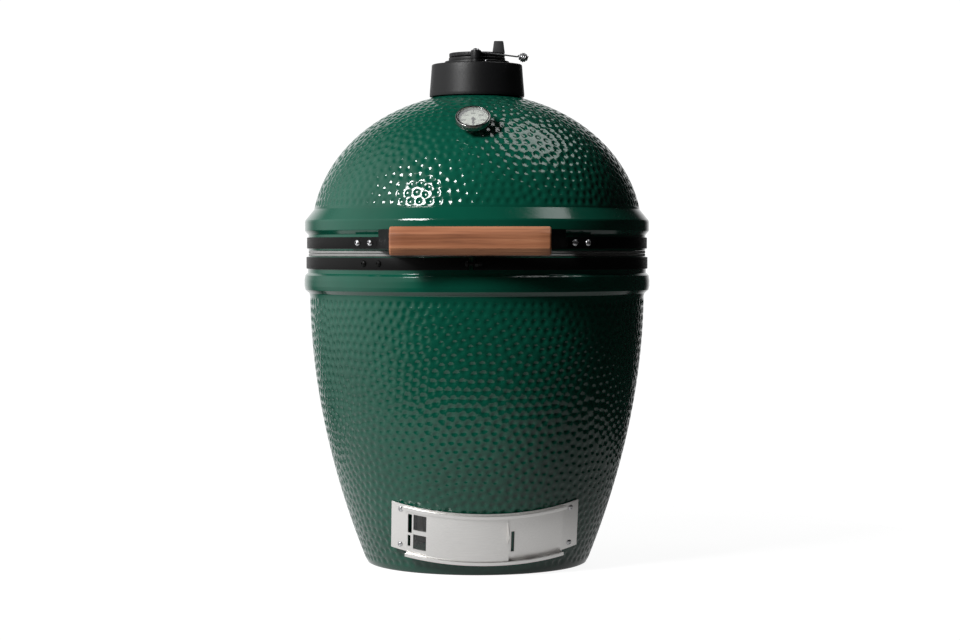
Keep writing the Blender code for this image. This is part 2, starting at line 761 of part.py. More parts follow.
def build_vent_cap():
    body, lid, wheel = vent_cap_body(), vent_lid(), vent_wheel()
    seal_top = CAP_TOP_Z - CAP_WALL - GAP
    seal_foot = CHIMNEY_TOP_Z + GAP
    seal = [
        (CHIMNEY_R - 0.0005, seal_top),
        (CHIMNEY_R - 0.0005, seal_foot),
        (CHIMNEY_BORE_R, seal_foot),
        (CHIMNEY_BORE_R, seal_top),
    ]
    turned("vent_cap_gasket", seal, FELT, steps=32, closed=True)
    pivot_head = EAR_TOP_Z + GAP
    pivot_length = pivot_head - CAP_TOP_Z - 0.001
    up = Vector((0, 0, 1))
    bolt("vent_lid_pivot", 0.0055, 0.0028, BOLT_R, pivot_length, (0, LID_PIVOT_Y, pivot_head), up, ZINC)
    drill([body, lid], (0, LID_PIVOT_Y, CAP_TOP_Z + 0.0125), up, HOLE_R, 0.0255)
    wheel_head = WHEEL_Z + WHEEL_THICKNESS + GAP
    wheel_reach = wheel_head - LID_Z - 0.0005
    bolt("vent_wheel_screw", 0.0060, 0.0028, BOLT_R, wheel_reach, (0, 0, wheel_head), up, ZINC)
    drill([lid, wheel], (0, 0, WHEEL_Z), up, HOLE_R, 0.030)
    nub_foot = WHEEL_Z + WHEEL_THICKNESS + GAP
    nub = box(
        "vent_nub",
        (0.0195, 0.0125, NUB_TOP_Z - nub_foot),
        SILICONE,
        taper=0.74,
        matrix=Matrix.Translation((NUB_X, 0, (NUB_TOP_Z + nub_foot) / 2)),
    )
    bevel(nub, 0.0012, 2)
    wire("vent_lever", lever_route(), LEVER_WIRE_R, SPRING_STEEL)
    at, outward = radial(RAISED_R + GAP, 18.0, (RAISED_Z + CAP_TOP_Z) / 2)
    bolt("vent_cap_rivet", 0.0019, 0.0012, 0.0009, 0.003, at, outward, ZINC, sides=8)
    drill([body], at - outward * 0.001, outward, 0.0012, 0.006, sides=8)


# ---- draft door -----------------------------------------------------------------------------
def build_draft_door(shell):
    """Everything here is in the frame of the rolled sheets' own axis, its +Z up the wall."""
    tilt, yaw = radians(DRAFT_TILT), radians(DRAFT_YAW)
    surface = base_radius(DRAFT_Z)
    outward = Vector((sin(yaw) * cos(tilt), -cos(yaw) * cos(tilt), -sin(tilt)))
    centre = Vector((surface * sin(yaw), -surface * cos(yaw), DRAFT_Z)) + outward * 0.0008
    axis = frame_at("draft_axis", centre - outward * DRAFT_R, (tilt, 0, yaw))

    def rolled(name, layer, start, end, low, high, material=None, turn=0.0, steps=16, **placing):
        """A sheet between two radii, two angles and two heights round the axis."""
        outline = sector(DRAFT_R + layer[0], DRAFT_R + layer[1], start, end, steps)
        where = Matrix.Rotation(radians(turn), 4, "Z") @ Matrix.Translation((0, 0, (low + high) / 2))
        return plate(name, [outline], high - low, material, matrix=where, parent=axis, **placing)

    half = FRAME_HEIGHT / 2
    pad = rolled("draft_pad", (-0.012, -GAP), -37.9, 37.9, 0.0022 - half, half - 0.0022, collection=CUTTERS)
    combine(shell, pad, "UNION")
    through, both = (-0.075, 0.01), (WINDOW_FROM, WINDOW_TO, WINDOW_LOW, WINDOW_HIGH)
    hole = rolled("draft_hole", through, *both, collection=CUTTERS, steps=8)
    combine(shell, hole, "DIFFERENCE")

    # the frame has a tongue along its foot that carries the bottom rail, and a slot beside the door
    layer, foot = (0.0, FRAME_SHEET), SLIDE_LOW - GAP - RAIL_WEB
    frame = rolled("draft_frame", layer, -FRAME_HALF_ANGLE, FRAME_HALF_ANGLE, foot, half, STEEL, steps=20)
    combine(frame, hole, "DIFFERENCE")
    corners = ((-45, BOTTOM_RAIL[0], foot - 0.01, -half), (BOTTOM_RAIL[1], 45, foot - 0.01, -half))
    for i, span in enumerate(corners + ((9.3, 10.6, -0.0250, 0.0080),)):
        cut = rolled(f"frame_cut_{i}", (-0.01, 0.01), *span, collection=CUTTERS, steps=4)
        combine(frame, cut, "DIFFERENCE")

    # each rail is a channel: a web on the frame and a lip over the sliding sheets
    top, bottom = SLIDE_HIGH + GAP, SLIDE_LOW - GAP
    for name, span, web_heights, lip_heights in (
        ("draft_rail_top", TOP_RAIL, (top, top + RAIL_WEB), (0.0313, 0.0364)),
        ("draft_rail_bottom", BOTTOM_RAIL, (bottom - RAIL_WEB, bottom), (-0.0444, -0.0390)),
    ):
        web_layer = (FRAME_SHEET + GAP, LIP_LAYER[0] + 0.0004)
        rail = rolled(name, web_layer, *span, *web_heights, STEEL)
        lip = rolled(name + "_lip", LIP_LAYER, *span, *lip_heights, collection=CUTTERS)
        combine(rail, lip, "UNION")

    # sliding sheets: mesh behind its frame, then the solid door in front of both
    rolled(
        "screen_mesh",
        MESH_LAYER,
        -SCREEN_HALF + 2.3,
        SCREEN_HALF - 0.8,
        -0.0312,
        0.0285,
        STEEL,
        SCREEN_REST,
        12,
    )
    heights = (SLIDE_LOW, SLIDE_HIGH)
    screen = rolled(
        "screen_door", SCREEN_LAYER, -SCREEN_HALF, SCREEN_HALF, *heights, STEEL, SCREEN_REST
    )
    first = -29.0 - SCREEN_REST
    panes = ((first, 13.9, 0.0010, 0.0262), (first, 13.9, -0.0302, -0.0062))
    grips = ((-15.7, -14.0, -0.0050, 0.0255), (-15.7, -14.5, -0.0270, -0.0090))
    for i, (start, end, low, high) in enumerate(panes + grips):
        placing = {"turn": SCREEN_REST, "steps": 6, "collection": CUTTERS}
        cut = rolled(f"screen_cut_{i}", (0.0, 0.006), start, end, low, high, **placing)
        combine(screen, cut, "DIFFERENCE")

    door = rolled("draft_door", DOOR_LAYER, -DOOR_HALF, DOOR_HALF, *heights, STEEL, DOOR_REST)
    root, edge = DRAFT_R + DOOR_LAYER[0] + 0.0006, DOOR_REST + DOOR_HALF - 0.5
    across = (sin(radians(edge)), -cos(radians(edge)), 0)
    tab = plate(
        "door_tab",
        [hull([(root, 0.028, 0.0003), (root, -0.011, 0.0003), (root + 0.0062, 0.007, 0.0060)])],
        0.0011,
        collection=CUTTERS,
        matrix=basis((0, 0, 0), across, (0, 0, 1)),
        parent=axis,
    )
    combine(door, tab, "UNION")

    number = 1
    for height in (1, -1):
        for side in (-1, 1):
            angle = radians(side * DRAFT_SCREW_ANGLE)
            way = Vector((sin(angle), -cos(angle), 0))
            at = way * (DRAFT_R + FRAME_SHEET + GAP) + Vector((0, 0, height * DRAFT_SCREW_Z))
            bolt(f"draft_screw_{number}", 0.0043, 0.0018, 0.0016, 0.0085, at, way, ZINC, parent=axis)
            drill([shell, frame], at - way * 0.0045, way, 0.0020, 0.0110, parent=axis)
            number += 1


# ---- thermometer ----------------------------------------------------------------------------
def build_thermometer(shell):
    """Built along +Z from the dome's surface, where it is screwed in square to the glaze."""
    lift = radians(DIAL_ELEVATION)
    turn = atan(tan(lift) * DOME_H / DOME_A)
    foot = (0, -DOME_A * cos(turn), DOME_CENTRE_Z + DOME_H * sin(turn))
    axis = frame_at("thermometer_axis", foot, (pi / 2 - lift, 0, 0))
    well = CASE_BACK + 0.0020
    case = [
        (CASE_R - 0.0030, CASE_FACE - 0.0011),
        (CASE_R - 0.0030, CASE_FACE),
        (CASE_R - 0.0008, CASE_FACE),
        (CASE_R, CASE_FACE - 0.0010),
        (CASE_R, CASE_BACK + 0.0015),
        (CASE_R - 0.0015, CASE_BACK),
        (0.0080, CASE_BACK),
        (0.0080, 0.0016),
        (STEM_R, 0.0016),
        (STEM_R, STEM_TIP),
        (0, STEM_TIP),
    ]
    inside = [(0, well), (CASE_R - 0.0018, well), (CASE_R - 0.0018, CASE_FACE - 0.0011)]
    turned("thermometer_case", inside + case, STEEL, steps=28, parent=axis)
    drill([shell], (0, 0, -0.015), (0, 0, 1), STEM_R + 0.0015, 0.060, parent=axis)

    def disc(name, radius, low, high, material):
        profile = [(0, high), (radius, high), (radius, low), (0, low)]
        return turned(name, profile, material, steps=28, parent=axis)

    disc("thermometer_dial", CASE_R - 0.0022, well + GAP, well + 0.0011, DIAL_WHITE)
    disc("thermometer_lens", CASE_R - 0.0022, CASE_FACE - 0.0026, CASE_FACE - 0.0014, GLASS)
    pointer = hull([(0, 0, 0.0022), (0, -0.0165, 0.0003)])
    above = Matrix.Translation((0, 0, well + 0.0023))
    plate("thermometer_needle", [pointer], 0.0006, NEEDLE_BLACK, matrix=above, parent=axis)


# ---- the grill ------------------------------------------------------------------------------
def build():
    base, crown = base_shell(), dome_shells()
    gasket("lower_gasket", LOWER_GASKET_Z)
    gasket("upper_gasket", UPPER_GASKET_Z)
    firebox()
    fire_ring()
    fire_grate()
    cooking_grid()

    lower = band("lower_band", LOWER_BAND_R, LOWER_BAND_Z, LOWER_BAND_HEIGHT)
    upper = band("upper_band", UPPER_BAND_R, UPPER_BAND_Z, UPPER_BAND_HEIGHT)
    band_closure("lower_band", lower, LOWER_BAND_R, LOWER_BAND_Z)
    band_closure("upper_band", upper, UPPER_BAND_R, UPPER_BAND_Z)
    for number, angle in enumerate((-37.2, -31.2), start=1):
        reach = BAND_THICKNESS + 0.0002
        strap_bolt(f"lower_band_screw_{number}", [lower], LOWER_BAND_R + GAP, angle, LOWER_BAND_Z, reach)

    bar = handle()
    reach = BRACKET_SHEET + BAND_THICKNESS + 0.0004
    for side in (-1, 1):
        bracket = handle_bracket(side, bar)
        for number, angle in enumerate(BRACKET_BOLT_ANGLES, start=1):
            name = f"bracket_bolt_{'left' if side < 0 else 'right'}_{number}"
            head = UPPER_BAND_R + BRACKET_SHEET + 2 * GAP
            strap_bolt(name, [bracket, upper], head, side * angle, UPPER_BAND_Z, reach, ZINC)

    pivot, hook = (PIVOT_Y, PIVOT_Z), (HOOK_Y, HOOK_Z)
    lower_circles = [(*pivot, 0.011), (HOOK_Y, ANCHOR_Z, 0.008)]
    upper_circles = [(*pivot, 0.0095), (*hook, 0.0065)]
    fixed = hinge_bracket("hinge_lower_bracket", LOWER_BAND_R, LOWER_BAND_Z, LOWER_CHEEK_X, lower_circles)
    moving = hinge_bracket("hinge_upper_bracket", UPPER_BAND_R, UPPER_BAND_Z, UPPER_CHEEK_X, upper_circles)
    rod("hinge_pin", *pivot, LOWER_CHEEK_X + 0.0045, 0.0065, [fixed, moving])
    rod("spring_anchor_rod", HOOK_Y, ANCHOR_Z, LOWER_CHEEK_X + 0.0040, 0, [fixed])
    rod("spring_hook_rod", *hook, UPPER_CHEEK_X + 0.0030, 0, [moving])
    wire("hinge_spring_left", spring_route(-SPRING_X), SPRING_WIRE_R, SPRING_STEEL)
    wire("hinge_spring_right", spring_route(SPRING_X), SPRING_WIRE_R, SPRING_STEEL)
    foot_reach = FOOT_SHEET + BAND_THICKNESS + 0.0004
    feet = (
        ("lower", fixed, lower, LOWER_BAND_R, LOWER_BAND_Z),
        ("upper", moving, upper, UPPER_BAND_R, UPPER_BAND_Z),
    )
    for label, bracket, strap, strap_r, z in feet:
        for number, angle in enumerate((180 + FOOT_BOLT_ANGLE / 2, 180 - FOOT_BOLT_ANGLE / 2), start=1):
            head = strap_r + FOOT_SHEET + 2 * GAP
            strap_bolt(f"hinge_bolt_{label}_{number}", [bracket, strap], head, angle, z, foot_reach)

    build_vent_cap()
    build_draft_door(base)
    build_thermometer(crown)


build()
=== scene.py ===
"""Looks for the kamado ceramic grill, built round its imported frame.

Metres, +Z up, front towards -Y. Angles in plan are in degrees from -Y towards +X.
"""

import random
from math import acos, asin, cos, degrees, pi, radians, sin, sqrt, tan

import bmesh
import bpy
import numpy as np
from mathutils import Euler, Matrix, Vector, kdtree
from mathutils.geometry import delaunay_2d_cdt


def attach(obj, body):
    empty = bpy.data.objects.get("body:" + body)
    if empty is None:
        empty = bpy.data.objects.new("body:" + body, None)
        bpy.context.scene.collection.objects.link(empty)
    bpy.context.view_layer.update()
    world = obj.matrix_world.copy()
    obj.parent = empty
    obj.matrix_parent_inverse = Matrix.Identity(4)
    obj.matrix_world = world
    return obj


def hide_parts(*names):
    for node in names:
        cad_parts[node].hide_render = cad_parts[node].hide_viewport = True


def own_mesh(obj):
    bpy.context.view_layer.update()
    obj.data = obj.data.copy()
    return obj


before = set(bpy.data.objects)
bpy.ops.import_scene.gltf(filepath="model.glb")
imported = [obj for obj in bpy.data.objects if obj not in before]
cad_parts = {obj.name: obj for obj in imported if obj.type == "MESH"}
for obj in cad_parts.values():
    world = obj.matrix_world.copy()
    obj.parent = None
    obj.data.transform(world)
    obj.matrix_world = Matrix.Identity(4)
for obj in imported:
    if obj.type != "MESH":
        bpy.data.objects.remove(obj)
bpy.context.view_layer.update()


def posed(spot, tilt):
    """A place and a turn, in degrees about each axis."""
    return Matrix.Translation(spot) @ Euler([radians(a) for a in tilt]).to_matrix().to_4x4()


def linked(name, data):
    """A new object in the scene."""
    made = bpy.data.objects.new(name, data)
    bpy.context.scene.collection.objects.link(made)
    return made


# ---- dimensions shared with the frame ----
GAP = 0.0003
STEPS = 192  # sides of the large rings

BASE_R, BASE_TAPER, BASE_TAPER_HEIGHT, BASE_TAPER_POWER = 0.2595, 0.0825, 0.406, 1.92
BASE_SHOULDER_Z, BASE_RIM_Z, FLOOR_Z = 0.420, 0.4755, 0.030
BASE_NECK_R, BASE_FLANGE_R, WALL, RIM_INNER_R = 0.2629, 0.2683, 0.025, 0.236
DOME_NECK_R, DOME_FLANGE_R, DOME_RIM_Z = 0.2620, 0.2675, 0.4843
DOME_A, DOME_H, DOME_CENTRE_Z = 0.257, 0.219, 0.510
CHIMNEY_R, CHIMNEY_BORE_R, CHIMNEY_TOP_Z = 0.062, 0.050, 0.7635
BAND_THICKNESS, BAND_GAP, BAND_LUG = 0.0020, 0.006, 0.013
LOWER_BAND_R, LOWER_BAND_Z, LOWER_BAND_HEIGHT = 0.2652, 0.4655, 0.018
UPPER_BAND_R, UPPER_BAND_Z, UPPER_BAND_HEIGHT = 0.2643, 0.4960, 0.017
HOOK_Y, HOOK_Z, ANCHOR_Z = 0.32457, 0.49821, 0.368
HANDLE_LENGTH, HANDLE_HEIGHT, HANDLE_DEPTH, HANDLE_BACK_Y, HANDLE_Z = 0.231, 0.0415, 0.0305, -0.2921, 0.49845
LID_PIVOT_Y, PIVOT_EAR_R = -0.052, 0.0078
VENT_PORTS, VENT_PORT_R, VENT_PORT_RING_R = 5, 0.0085, 0.026
DRAFT_R = 0.220
DRAFT = posed((-0.0013737, 0.0126452, 0.1328876), (19.2, 0, 6.2))
DIAL = posed((0, -0.180320, 0.666046), (40, 0, 0))

# ---- camera ----
CAMERA_TURN, CAMERA_DISTANCE, CAMERA_Z = 1.75, 3.588, 0.490
CAMERA_PAN, CAMERA_TILT = 0.075, 1.82

lens = bpy.data.cameras.new("camera")
lens.lens, lens.sensor_width = 86.25, 36.0
camera = linked("camera", lens)
turn = radians(CAMERA_TURN)
camera.location = (CAMERA_DISTANCE * sin(turn), -CAMERA_DISTANCE * cos(turn), CAMERA_Z)
camera.rotation_euler = (radians(90 - CAMERA_TILT), 0, radians(CAMERA_TURN - CAMERA_PAN))
bpy.context.scene.camera = camera


# ---- shader nodes ----
def add_node(tree, kind, feed=None, **values):
    """A shader node. values go to its inputs or, if it has none of that name, to its settings."""
    made = tree.nodes.new("ShaderNode" + kind)
    for key, value in values.items():
        name = key.replace("_", " ")
        if name in made.inputs:
            made.inputs[name].default_value = value
        else:
            setattr(made, key, value)
    for name, source in (feed or {}).items():
        tree.links.new(source, made.inputs[name])
    return made


def map_range(tree, source, start, end, low, high, **values):
    """Carries start..end of the source over to low..high."""
    span = {"From_Min": start, "From_Max": end, "To_Min": low, "To_Max": high}
    return add_node(tree, "MapRange", {"Value": source}, **span, **values).outputs[0]


# ---- studio ----
def softbox(name, size, place, aim, radiance, matt=True, gloss=True):
    light = bpy.data.lights.new(name, "AREA")
    light.shape = "RECTANGLE"
    light.size, light.size_y = size
    light.energy = radiance * pi * size[0] * size[1]
    box = linked(name, light)
    box.location = place
    box.rotation_euler = (Vector(aim) - Vector(place)).to_track_quat("-Z", "Y").to_euler()
    box.visible_camera, box.visible_diffuse, box.visible_glossy = False, matt, gloss


softbox("key", (0.66, 0.66), (-1.40, -1.66, 1.78), (0, 0, 0.40), 42.0)
softbox("overhead", (1.3, 1.0), (0.95, 0.20, 2.60), (0, 0, 0.5), 3.0, matt=False)
softbox("back", (1.6, 1.2), (0.9, 2.0, 1.6), (0, 0, 0.4), 2.5, gloss=False)

# surroundings: white to the eye, and otherwise a dark room with a bright back wall and left side
world = bpy.data.worlds.new("studio")
bpy.context.scene.world = world
world.use_nodes = True
sky = world.node_tree
sky.nodes.clear()


def glow(toward, start, end, strength):
    """Brightness that rises softly towards a direction, between two cosines."""
    dot = add_node(sky, "VectorMath", {0: way}, operation="DOT_PRODUCT")
    dot.inputs[1].default_value = Vector(toward).normalized()
    return map_range(sky, dot.outputs["Value"], start, end, 0.006, strength, interpolation_type="SMOOTHSTEP")


way = add_node(sky, "TexCoord").outputs["Generated"]
back = glow((-0.15, 1, 0.1), 0.80, 0.98, 1.0)
left = glow((-1, -0.02, 0.25), 0.50, 1.0, 0.85)
level = add_node(sky, "Math", {0: back, 1: left}, operation="ADD").outputs[0]
room = add_node(sky, "Background", {"Strength": level}, Color=(1, 1, 1, 1)).outputs[0]
seen = add_node(sky, "Background", Color=(1, 1, 1, 1), Strength=1.05).outputs[0]
eye = add_node(sky, "LightPath").outputs["Is Camera Ray"]
either = add_node(sky, "MixShader", {0: eye, 1: room, 2: seen}).outputs[0]
add_node(sky, "OutputWorld", {0: either})
bpy.context.scene.view_settings.view_transform = "Standard"


# ---- materials ----
class Finish:
    """A Principled material whose colour, roughness and bump come from noise in the piece's own space."""

    def __init__(self, name, metallic=0.0, **sockets):
        self.material = bpy.data.materials.new(name)
        self.material.use_nodes = True
        self.tree = self.material.node_tree
        self.shader = self.tree.nodes["Principled BSDF"]
        self.shader.inputs["Metallic"].default_value = metallic
        for key, value in sockets.items():
            self.shader.inputs[key.replace("_", " ")].default_value = value
        self.place = self.tree.nodes.new("ShaderNodeTexCoord").outputs["Object"]

    def node(self, kind, feed=None, **values):
        return add_node(self.tree, kind, feed, **values)

    def noise(self, scale, stretch=(1, 1, 1), detail=4.0, rough=0.55, turn=(0, 0, 0)):
        space = self.node("Mapping", {"Vector": self.place}, Scale=stretch, Rotation=turn)
        feed = {"Vector": space.outputs[0]}
        return self.node("TexNoise", feed, Scale=scale, Detail=detail, Roughness=rough).outputs["Fac"]

    def ramp(self, source, stops):
        made = self.node("ValToRGB", {"Fac": source})
        elements = made.color_ramp.elements
        while len(elements) < len(stops):
            elements.new(0.5)
        for element, (at, colour) in zip(elements, stops):
            element.position, element.color = at, (*colour, 1)
        return made.outputs["Color"]

    def mix(self, share, a, b, blend="MIX"):
        made = self.node("Mix", data_type="RGBA", blend_type=blend)
        for socket, value in ((made.inputs[0], share), (made.inputs[6], a), (made.inputs[7], b)):
            if isinstance(value, (int, float)):
                socket.default_value = value
            elif isinstance(value, tuple):
                socket.default_value = (*value, 1)
            else:
                self.tree.links.new(value, socket)
        return made.outputs[2]

    def spread(self, source, low, high, start=0.3, end=0.7):
        return map_range(self.tree, source, start, end, low, high)

    def colour(self, source):
        self.tree.links.new(source, self.shader.inputs["Base Color"])
        return self

    def roughness(self, source):
        self.tree.links.new(source, self.shader.inputs["Roughness"])
        return self

    def bump(self, source, distance, strength=1.0):
        made = self.node("Bump", {"Height": source}, Strength=strength, Distance=distance)
        self.tree.links.new(made.outputs[0], self.shader.inputs["Normal"])
        return self


def plain(name, dark, light, rough, grain, bump=0.0001, **sockets):
    """Two tones, a range of roughness and a fine bump, all from one grain."""
    made = Finish(name, **sockets)
    fine = made.noise(grain, detail=5.0)
    wide = made.noise(9.0, detail=3.0)
    tone = made.mix(made.spread(wide, 0.0, 0.35), made.ramp(fine, ((0.3, dark), (0.7, light))), dark)
    return made.colour(tone).roughness(made.spread(fine, *rough)).bump(fine, bump).material


def glaze():
    made = Finish("green_glaze", IOR=1.52, Coat_Weight=0.0)
    wide, fine = made.noise(7.0, detail=3.0), made.noise(160.0, detail=6.0)
    tone = made.ramp(wide, ((0.32, (0.0028, 0.078, 0.047)), (0.68, (0.0042, 0.098, 0.060))))
    flecks = made.spread(made.noise(950.0, detail=2.0), 0.0, 0.5, 0.62, 0.75)
    tone = made.mix(flecks, tone, (0.002, 0.045, 0.027))
    made.colour(tone).roughness(made.spread(fine, 0.085, 0.15))
    return made.bump(made.noise(420.0, detail=3.0), 0.00006).material


def fireclay():
    made = Finish("fireclay")
    wide, fine = made.noise(12.0), made.noise(620.0, detail=8.0, rough=0.7)
    tone = made.ramp(wide, ((0.3, (0.40, 0.30, 0.205)), (0.7, (0.55, 0.43, 0.31))))
    pits = made.spread(made.noise(300.0, detail=5.0), 0.0, 0.55, 0.58, 0.70)
    tone = made.mix(pits, tone, (0.22, 0.16, 0.11))
    made.colour(tone).roughness(made.spread(fine, 0.82, 0.95))
    return made.bump(fine, 0.0005).material


def wood():
    made = Finish("oiled_hardwood")
    sweep = made.noise(9.0, (0.25, 1.0, 2.2), detail=5.0)
    grain = made.noise(60.0, (0.045, 1.0, 1.6), detail=7.0, rough=0.62)
    pores = made.noise(420.0, (0.030, 1.0, 1.0), detail=3.0)
    dark, mid, light = (0.30, 0.115, 0.052), (0.50, 0.205, 0.098), (0.66, 0.31, 0.155)
    tone = made.ramp(grain, ((0.30, dark), (0.52, mid), (0.72, light)))
    warm = made.ramp(sweep, ((0.35, (0.80, 0.68, 0.62)), (0.65, (1.0, 1.0, 1.0))))
    tone = made.mix(1.0, tone, warm, "MULTIPLY")
    tone = made.mix(made.spread(pores, 0.0, 0.6, 0.56, 0.70), tone, (0.20, 0.072, 0.034))
    made.colour(tone).roughness(made.spread(grain, 0.42, 0.60))
    return made.bump(pores, 0.00025).material


def felt():
    made = Finish("grey_felt", Sheen_Weight=0.35, Sheen_Roughness=0.5)
    fuzz, tufts = made.noise(1400.0, (1, 1, 0.6), detail=6.0, rough=0.7), made.noise(240.0)
    tone = made.ramp(fuzz, ((0.3, (0.20, 0.20, 0.195)), (0.7, (0.42, 0.42, 0.41))))
    tone = made.mix(made.spread(tufts, 0.0, 0.4), tone, (0.17, 0.17, 0.165))
    made.colour(tone).roughness(made.spread(fuzz, 0.88, 0.98))
    return made.bump(fuzz, 0.0006).material


def brushed(name, dark, light, rough, stretch=(1, 1, 1), grain=900.0, metallic=1.0):
    """Metal with fine scratches, drawn out along the axis with the smallest stretch."""
    made = Finish(name, metallic)
    scratch, cloud = made.noise(grain, stretch, detail=6.0, rough=0.7), made.noise(14.0)
    tone = made.ramp(scratch, ((0.28, dark), (0.72, light)))
    tone = made.mix(made.spread(cloud, 0.0, 0.3), tone, dark)
    made.colour(tone).roughness(made.spread(scratch, *rough))
    return made.bump(scratch, 0.00003, 0.6).material


def clear_glass():
    made = Finish("clear_glass", IOR=1.46, Alpha=0.16)
    film = made.noise(60.0)
    made.colour(made.ramp(film, ((0.3, (0.93, 0.95, 0.95)), (0.7, (0.98, 0.99, 0.99)))))
    return made.roughness(made.spread(film, 0.01, 0.04)).material


GLAZE, CLAY, WOOD, FELT = glaze(), fireclay(), wood(), felt()
BLACK_STEEL = plain(
    "black_powder_coat",
    (0.004, 0.004, 0.004),
    (0.008, 0.008, 0.008),
    (0.34, 0.46),
    1500,
    Specular_IOR_Level=0.14,
)
VENT_BLACK = plain(
    "vent_black",
    (0.0045, 0.0045, 0.005),
    (0.011, 0.011, 0.012),
    (0.38, 0.50),
    1100,
    bump=0.00015,
    Specular_IOR_Level=0.35,
)
CAST_IRON = plain("cast_iron", (0.020, 0.018, 0.017), (0.055, 0.050, 0.046), (0.6, 0.85), 500, bump=0.0005)
SILICONE = plain("black_silicone", (0.012, 0.012, 0.013), (0.022, 0.022, 0.024), (0.5, 0.65), 900)
STAINLESS = brushed(
    "brushed_stainless",
    (0.80, 0.785, 0.765),
    (0.92, 0.905, 0.885),
    (0.30, 0.42),
    stretch=(0.02, 1, 1),
    metallic=0.8,
)
ZINC = brushed("zinc_fastener", (0.42, 0.42, 0.43), (0.68, 0.68, 0.69), (0.22, 0.38), grain=700)
SPRING = brushed("spring_steel", (0.30, 0.30, 0.31), (0.52, 0.52, 0.53), (0.25, 0.40), grain=800)
GRID_STEEL = brushed("grid_steel", (0.50, 0.49, 0.47), (0.74, 0.73, 0.71), (0.24, 0.38), grain=600)
GAUGE_STEEL = brushed("gauge_steel", (0.26, 0.26, 0.25), (0.46, 0.46, 0.45), (0.16, 0.30), grain=500)
WEAVE = brushed("woven_steel", (0.16, 0.16, 0.16), (0.32, 0.32, 0.32), (0.35, 0.5), grain=700)
DIAL_WHITE = plain("dial_enamel", (0.56, 0.60, 0.52), (0.76, 0.79, 0.71), (0.35, 0.5), 300, bump=0.00002)
PRINT = plain("dial_print", (0.012, 0.012, 0.014), (0.035, 0.035, 0.038), (0.5, 0.6), 600, bump=0.00001)
NEEDLE = plain("needle_black", (0.012, 0.012, 0.012), (0.03, 0.03, 0.03), (0.35, 0.5), 600)
LENS = clear_glass()


# ---- building blocks ----
def solid(name, verts, faces):
    mesh = bpy.data.meshes.new(name)
    mesh.from_pydata([tuple(v) for v in verts], [], faces)
    shape = bmesh.new()
    shape.from_mesh(mesh)
    bmesh.ops.recalc_face_normals(shape, faces=shape.faces)
    shape.to_mesh(mesh)
    shape.free()
    return mesh


def place(name, mesh, finish, body, nodes=(), slot=None, at=None, sharp=35):
    """Puts a finished mesh in the scene, on its body, in place of its CAD nodes."""
    if at:
        mesh.transform(at)
    mesh.materials.clear()
    for one in finish if isinstance(finish, tuple) else (finish,):
        mesh.materials.append(one)
    mesh.shade_smooth()
    mesh.set_sharp_from_angle(angle=radians(sharp))
    piece = linked(name, mesh)
    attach(piece, body)
    if nodes:
        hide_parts(*nodes)
    return piece


def combine(mesh, tool, operation="DIFFERENCE"):
    """A boolean of two closed meshes."""
    pair = [linked("work", one) for one in (mesh, tool)]
    cut = pair[0].modifiers.new("cut", "BOOLEAN")
    cut.operation, cut.object, cut.solver = operation, pair[1], "MANIFOLD"
    seen = pair[0].evaluated_get(bpy.context.evaluated_depsgraph_get())
    result = bpy.data.meshes.new_from_object(seen)
    for made in pair:
        bpy.data.objects.remove(made)
    return result


def joined(name, meshes):
    """Several meshes as one."""
    shape = bmesh.new()
    for mesh in meshes:
        shape.from_mesh(mesh)
    mesh = bpy.data.meshes.new(name)
    shape.to_mesh(mesh)
    shape.free()
    return mesh


def rounded(profile, steps=3):
    """Points of (r, z) or (r, z, fillet): each corner with a fillet becomes a short arc."""
    count, made = len(profile), []
    for i, corner in enumerate(profile):
        here = Vector(corner[:2])
        if len(corner) < 3:
            made.append(tuple(here))
            continue
        before, after = Vector(profile[i - 1][:2]), Vector(profile[(i + 1) % count][:2])
        a, b = (before - here).normalized(), (after - here).normalized()
        half = a.angle(b) / 2
        reach = min(corner[2] / tan(half), 0.49 * (before - here).length, 0.49 * (after - here).length)
        start, end = here + a * reach, here + b * reach
        for k in range(steps + 1):
            t = k / steps
            made.append(tuple(start.lerp(here, t).lerp(here.lerp(end, t), t)))
    return made


def rings(chain, steps, verts):
    """Adds a ring of vertices for each (r, z); an r of 0 is one vertex. Gives each ring's indices."""
    made = []
    angles = [2 * pi * k / steps for k in range(steps)]
    for r, z in chain:
        first = len(verts)
        if r < 1e-6:
            verts.append((0, 0, z))
            made.append([first] * steps)
        else:
            verts += [(r * sin(a), -r * cos(a), z) for a in angles]
            made.append(list(range(first, first + steps)))
    return made


def skin(loops, wrap=False):
    """Quads between following rings, or triangles where a ring is one point."""
    faces = []
    pairs = list(zip(loops, loops[1:])) + ([(loops[-1], loops[0])] if wrap else [])
    for a, b in pairs:
        count = len(a)
        for k in range(count):
            n = (k + 1) % count
            face = [a[k], a[n], b[n], b[k]]
            face = [v for i, v in enumerate(face) if v not in face[:i]]
            faces.append(face)
    return faces


def turned(name, profile, steps=64):
    """A profile turned round +Z: a closed loop, or an open one that starts and ends on the axis."""
    verts = []
    loops = rings(profile, steps, verts)
    return solid(name, verts, skin(loops, wrap=profile[0][0] > 1e-6))


def polar(radius, angle):
    turn = radians(angle)
    return (radius * sin(turn), -radius * cos(turn))


def arc(radius, start, end, steps):
    return [polar(radius, start + (end - start) * i / steps) for i in range(steps + 1)]


def bar_section(width, height, corner, steps=2):
    """A rounded rectangle of (across, up) points."""
    made = []
    for k, (sx, sz) in enumerate(((1, 1), (-1, 1), (-1, -1), (1, -1))):
        cx, cz = sx * (width / 2 - corner), sz * (height / 2 - corner)
        for i in range(steps + 1):
            a = pi / 2 * (k + i / steps)
            made.append((cx + corner * cos(a), cz + corner * sin(a)))
    return made


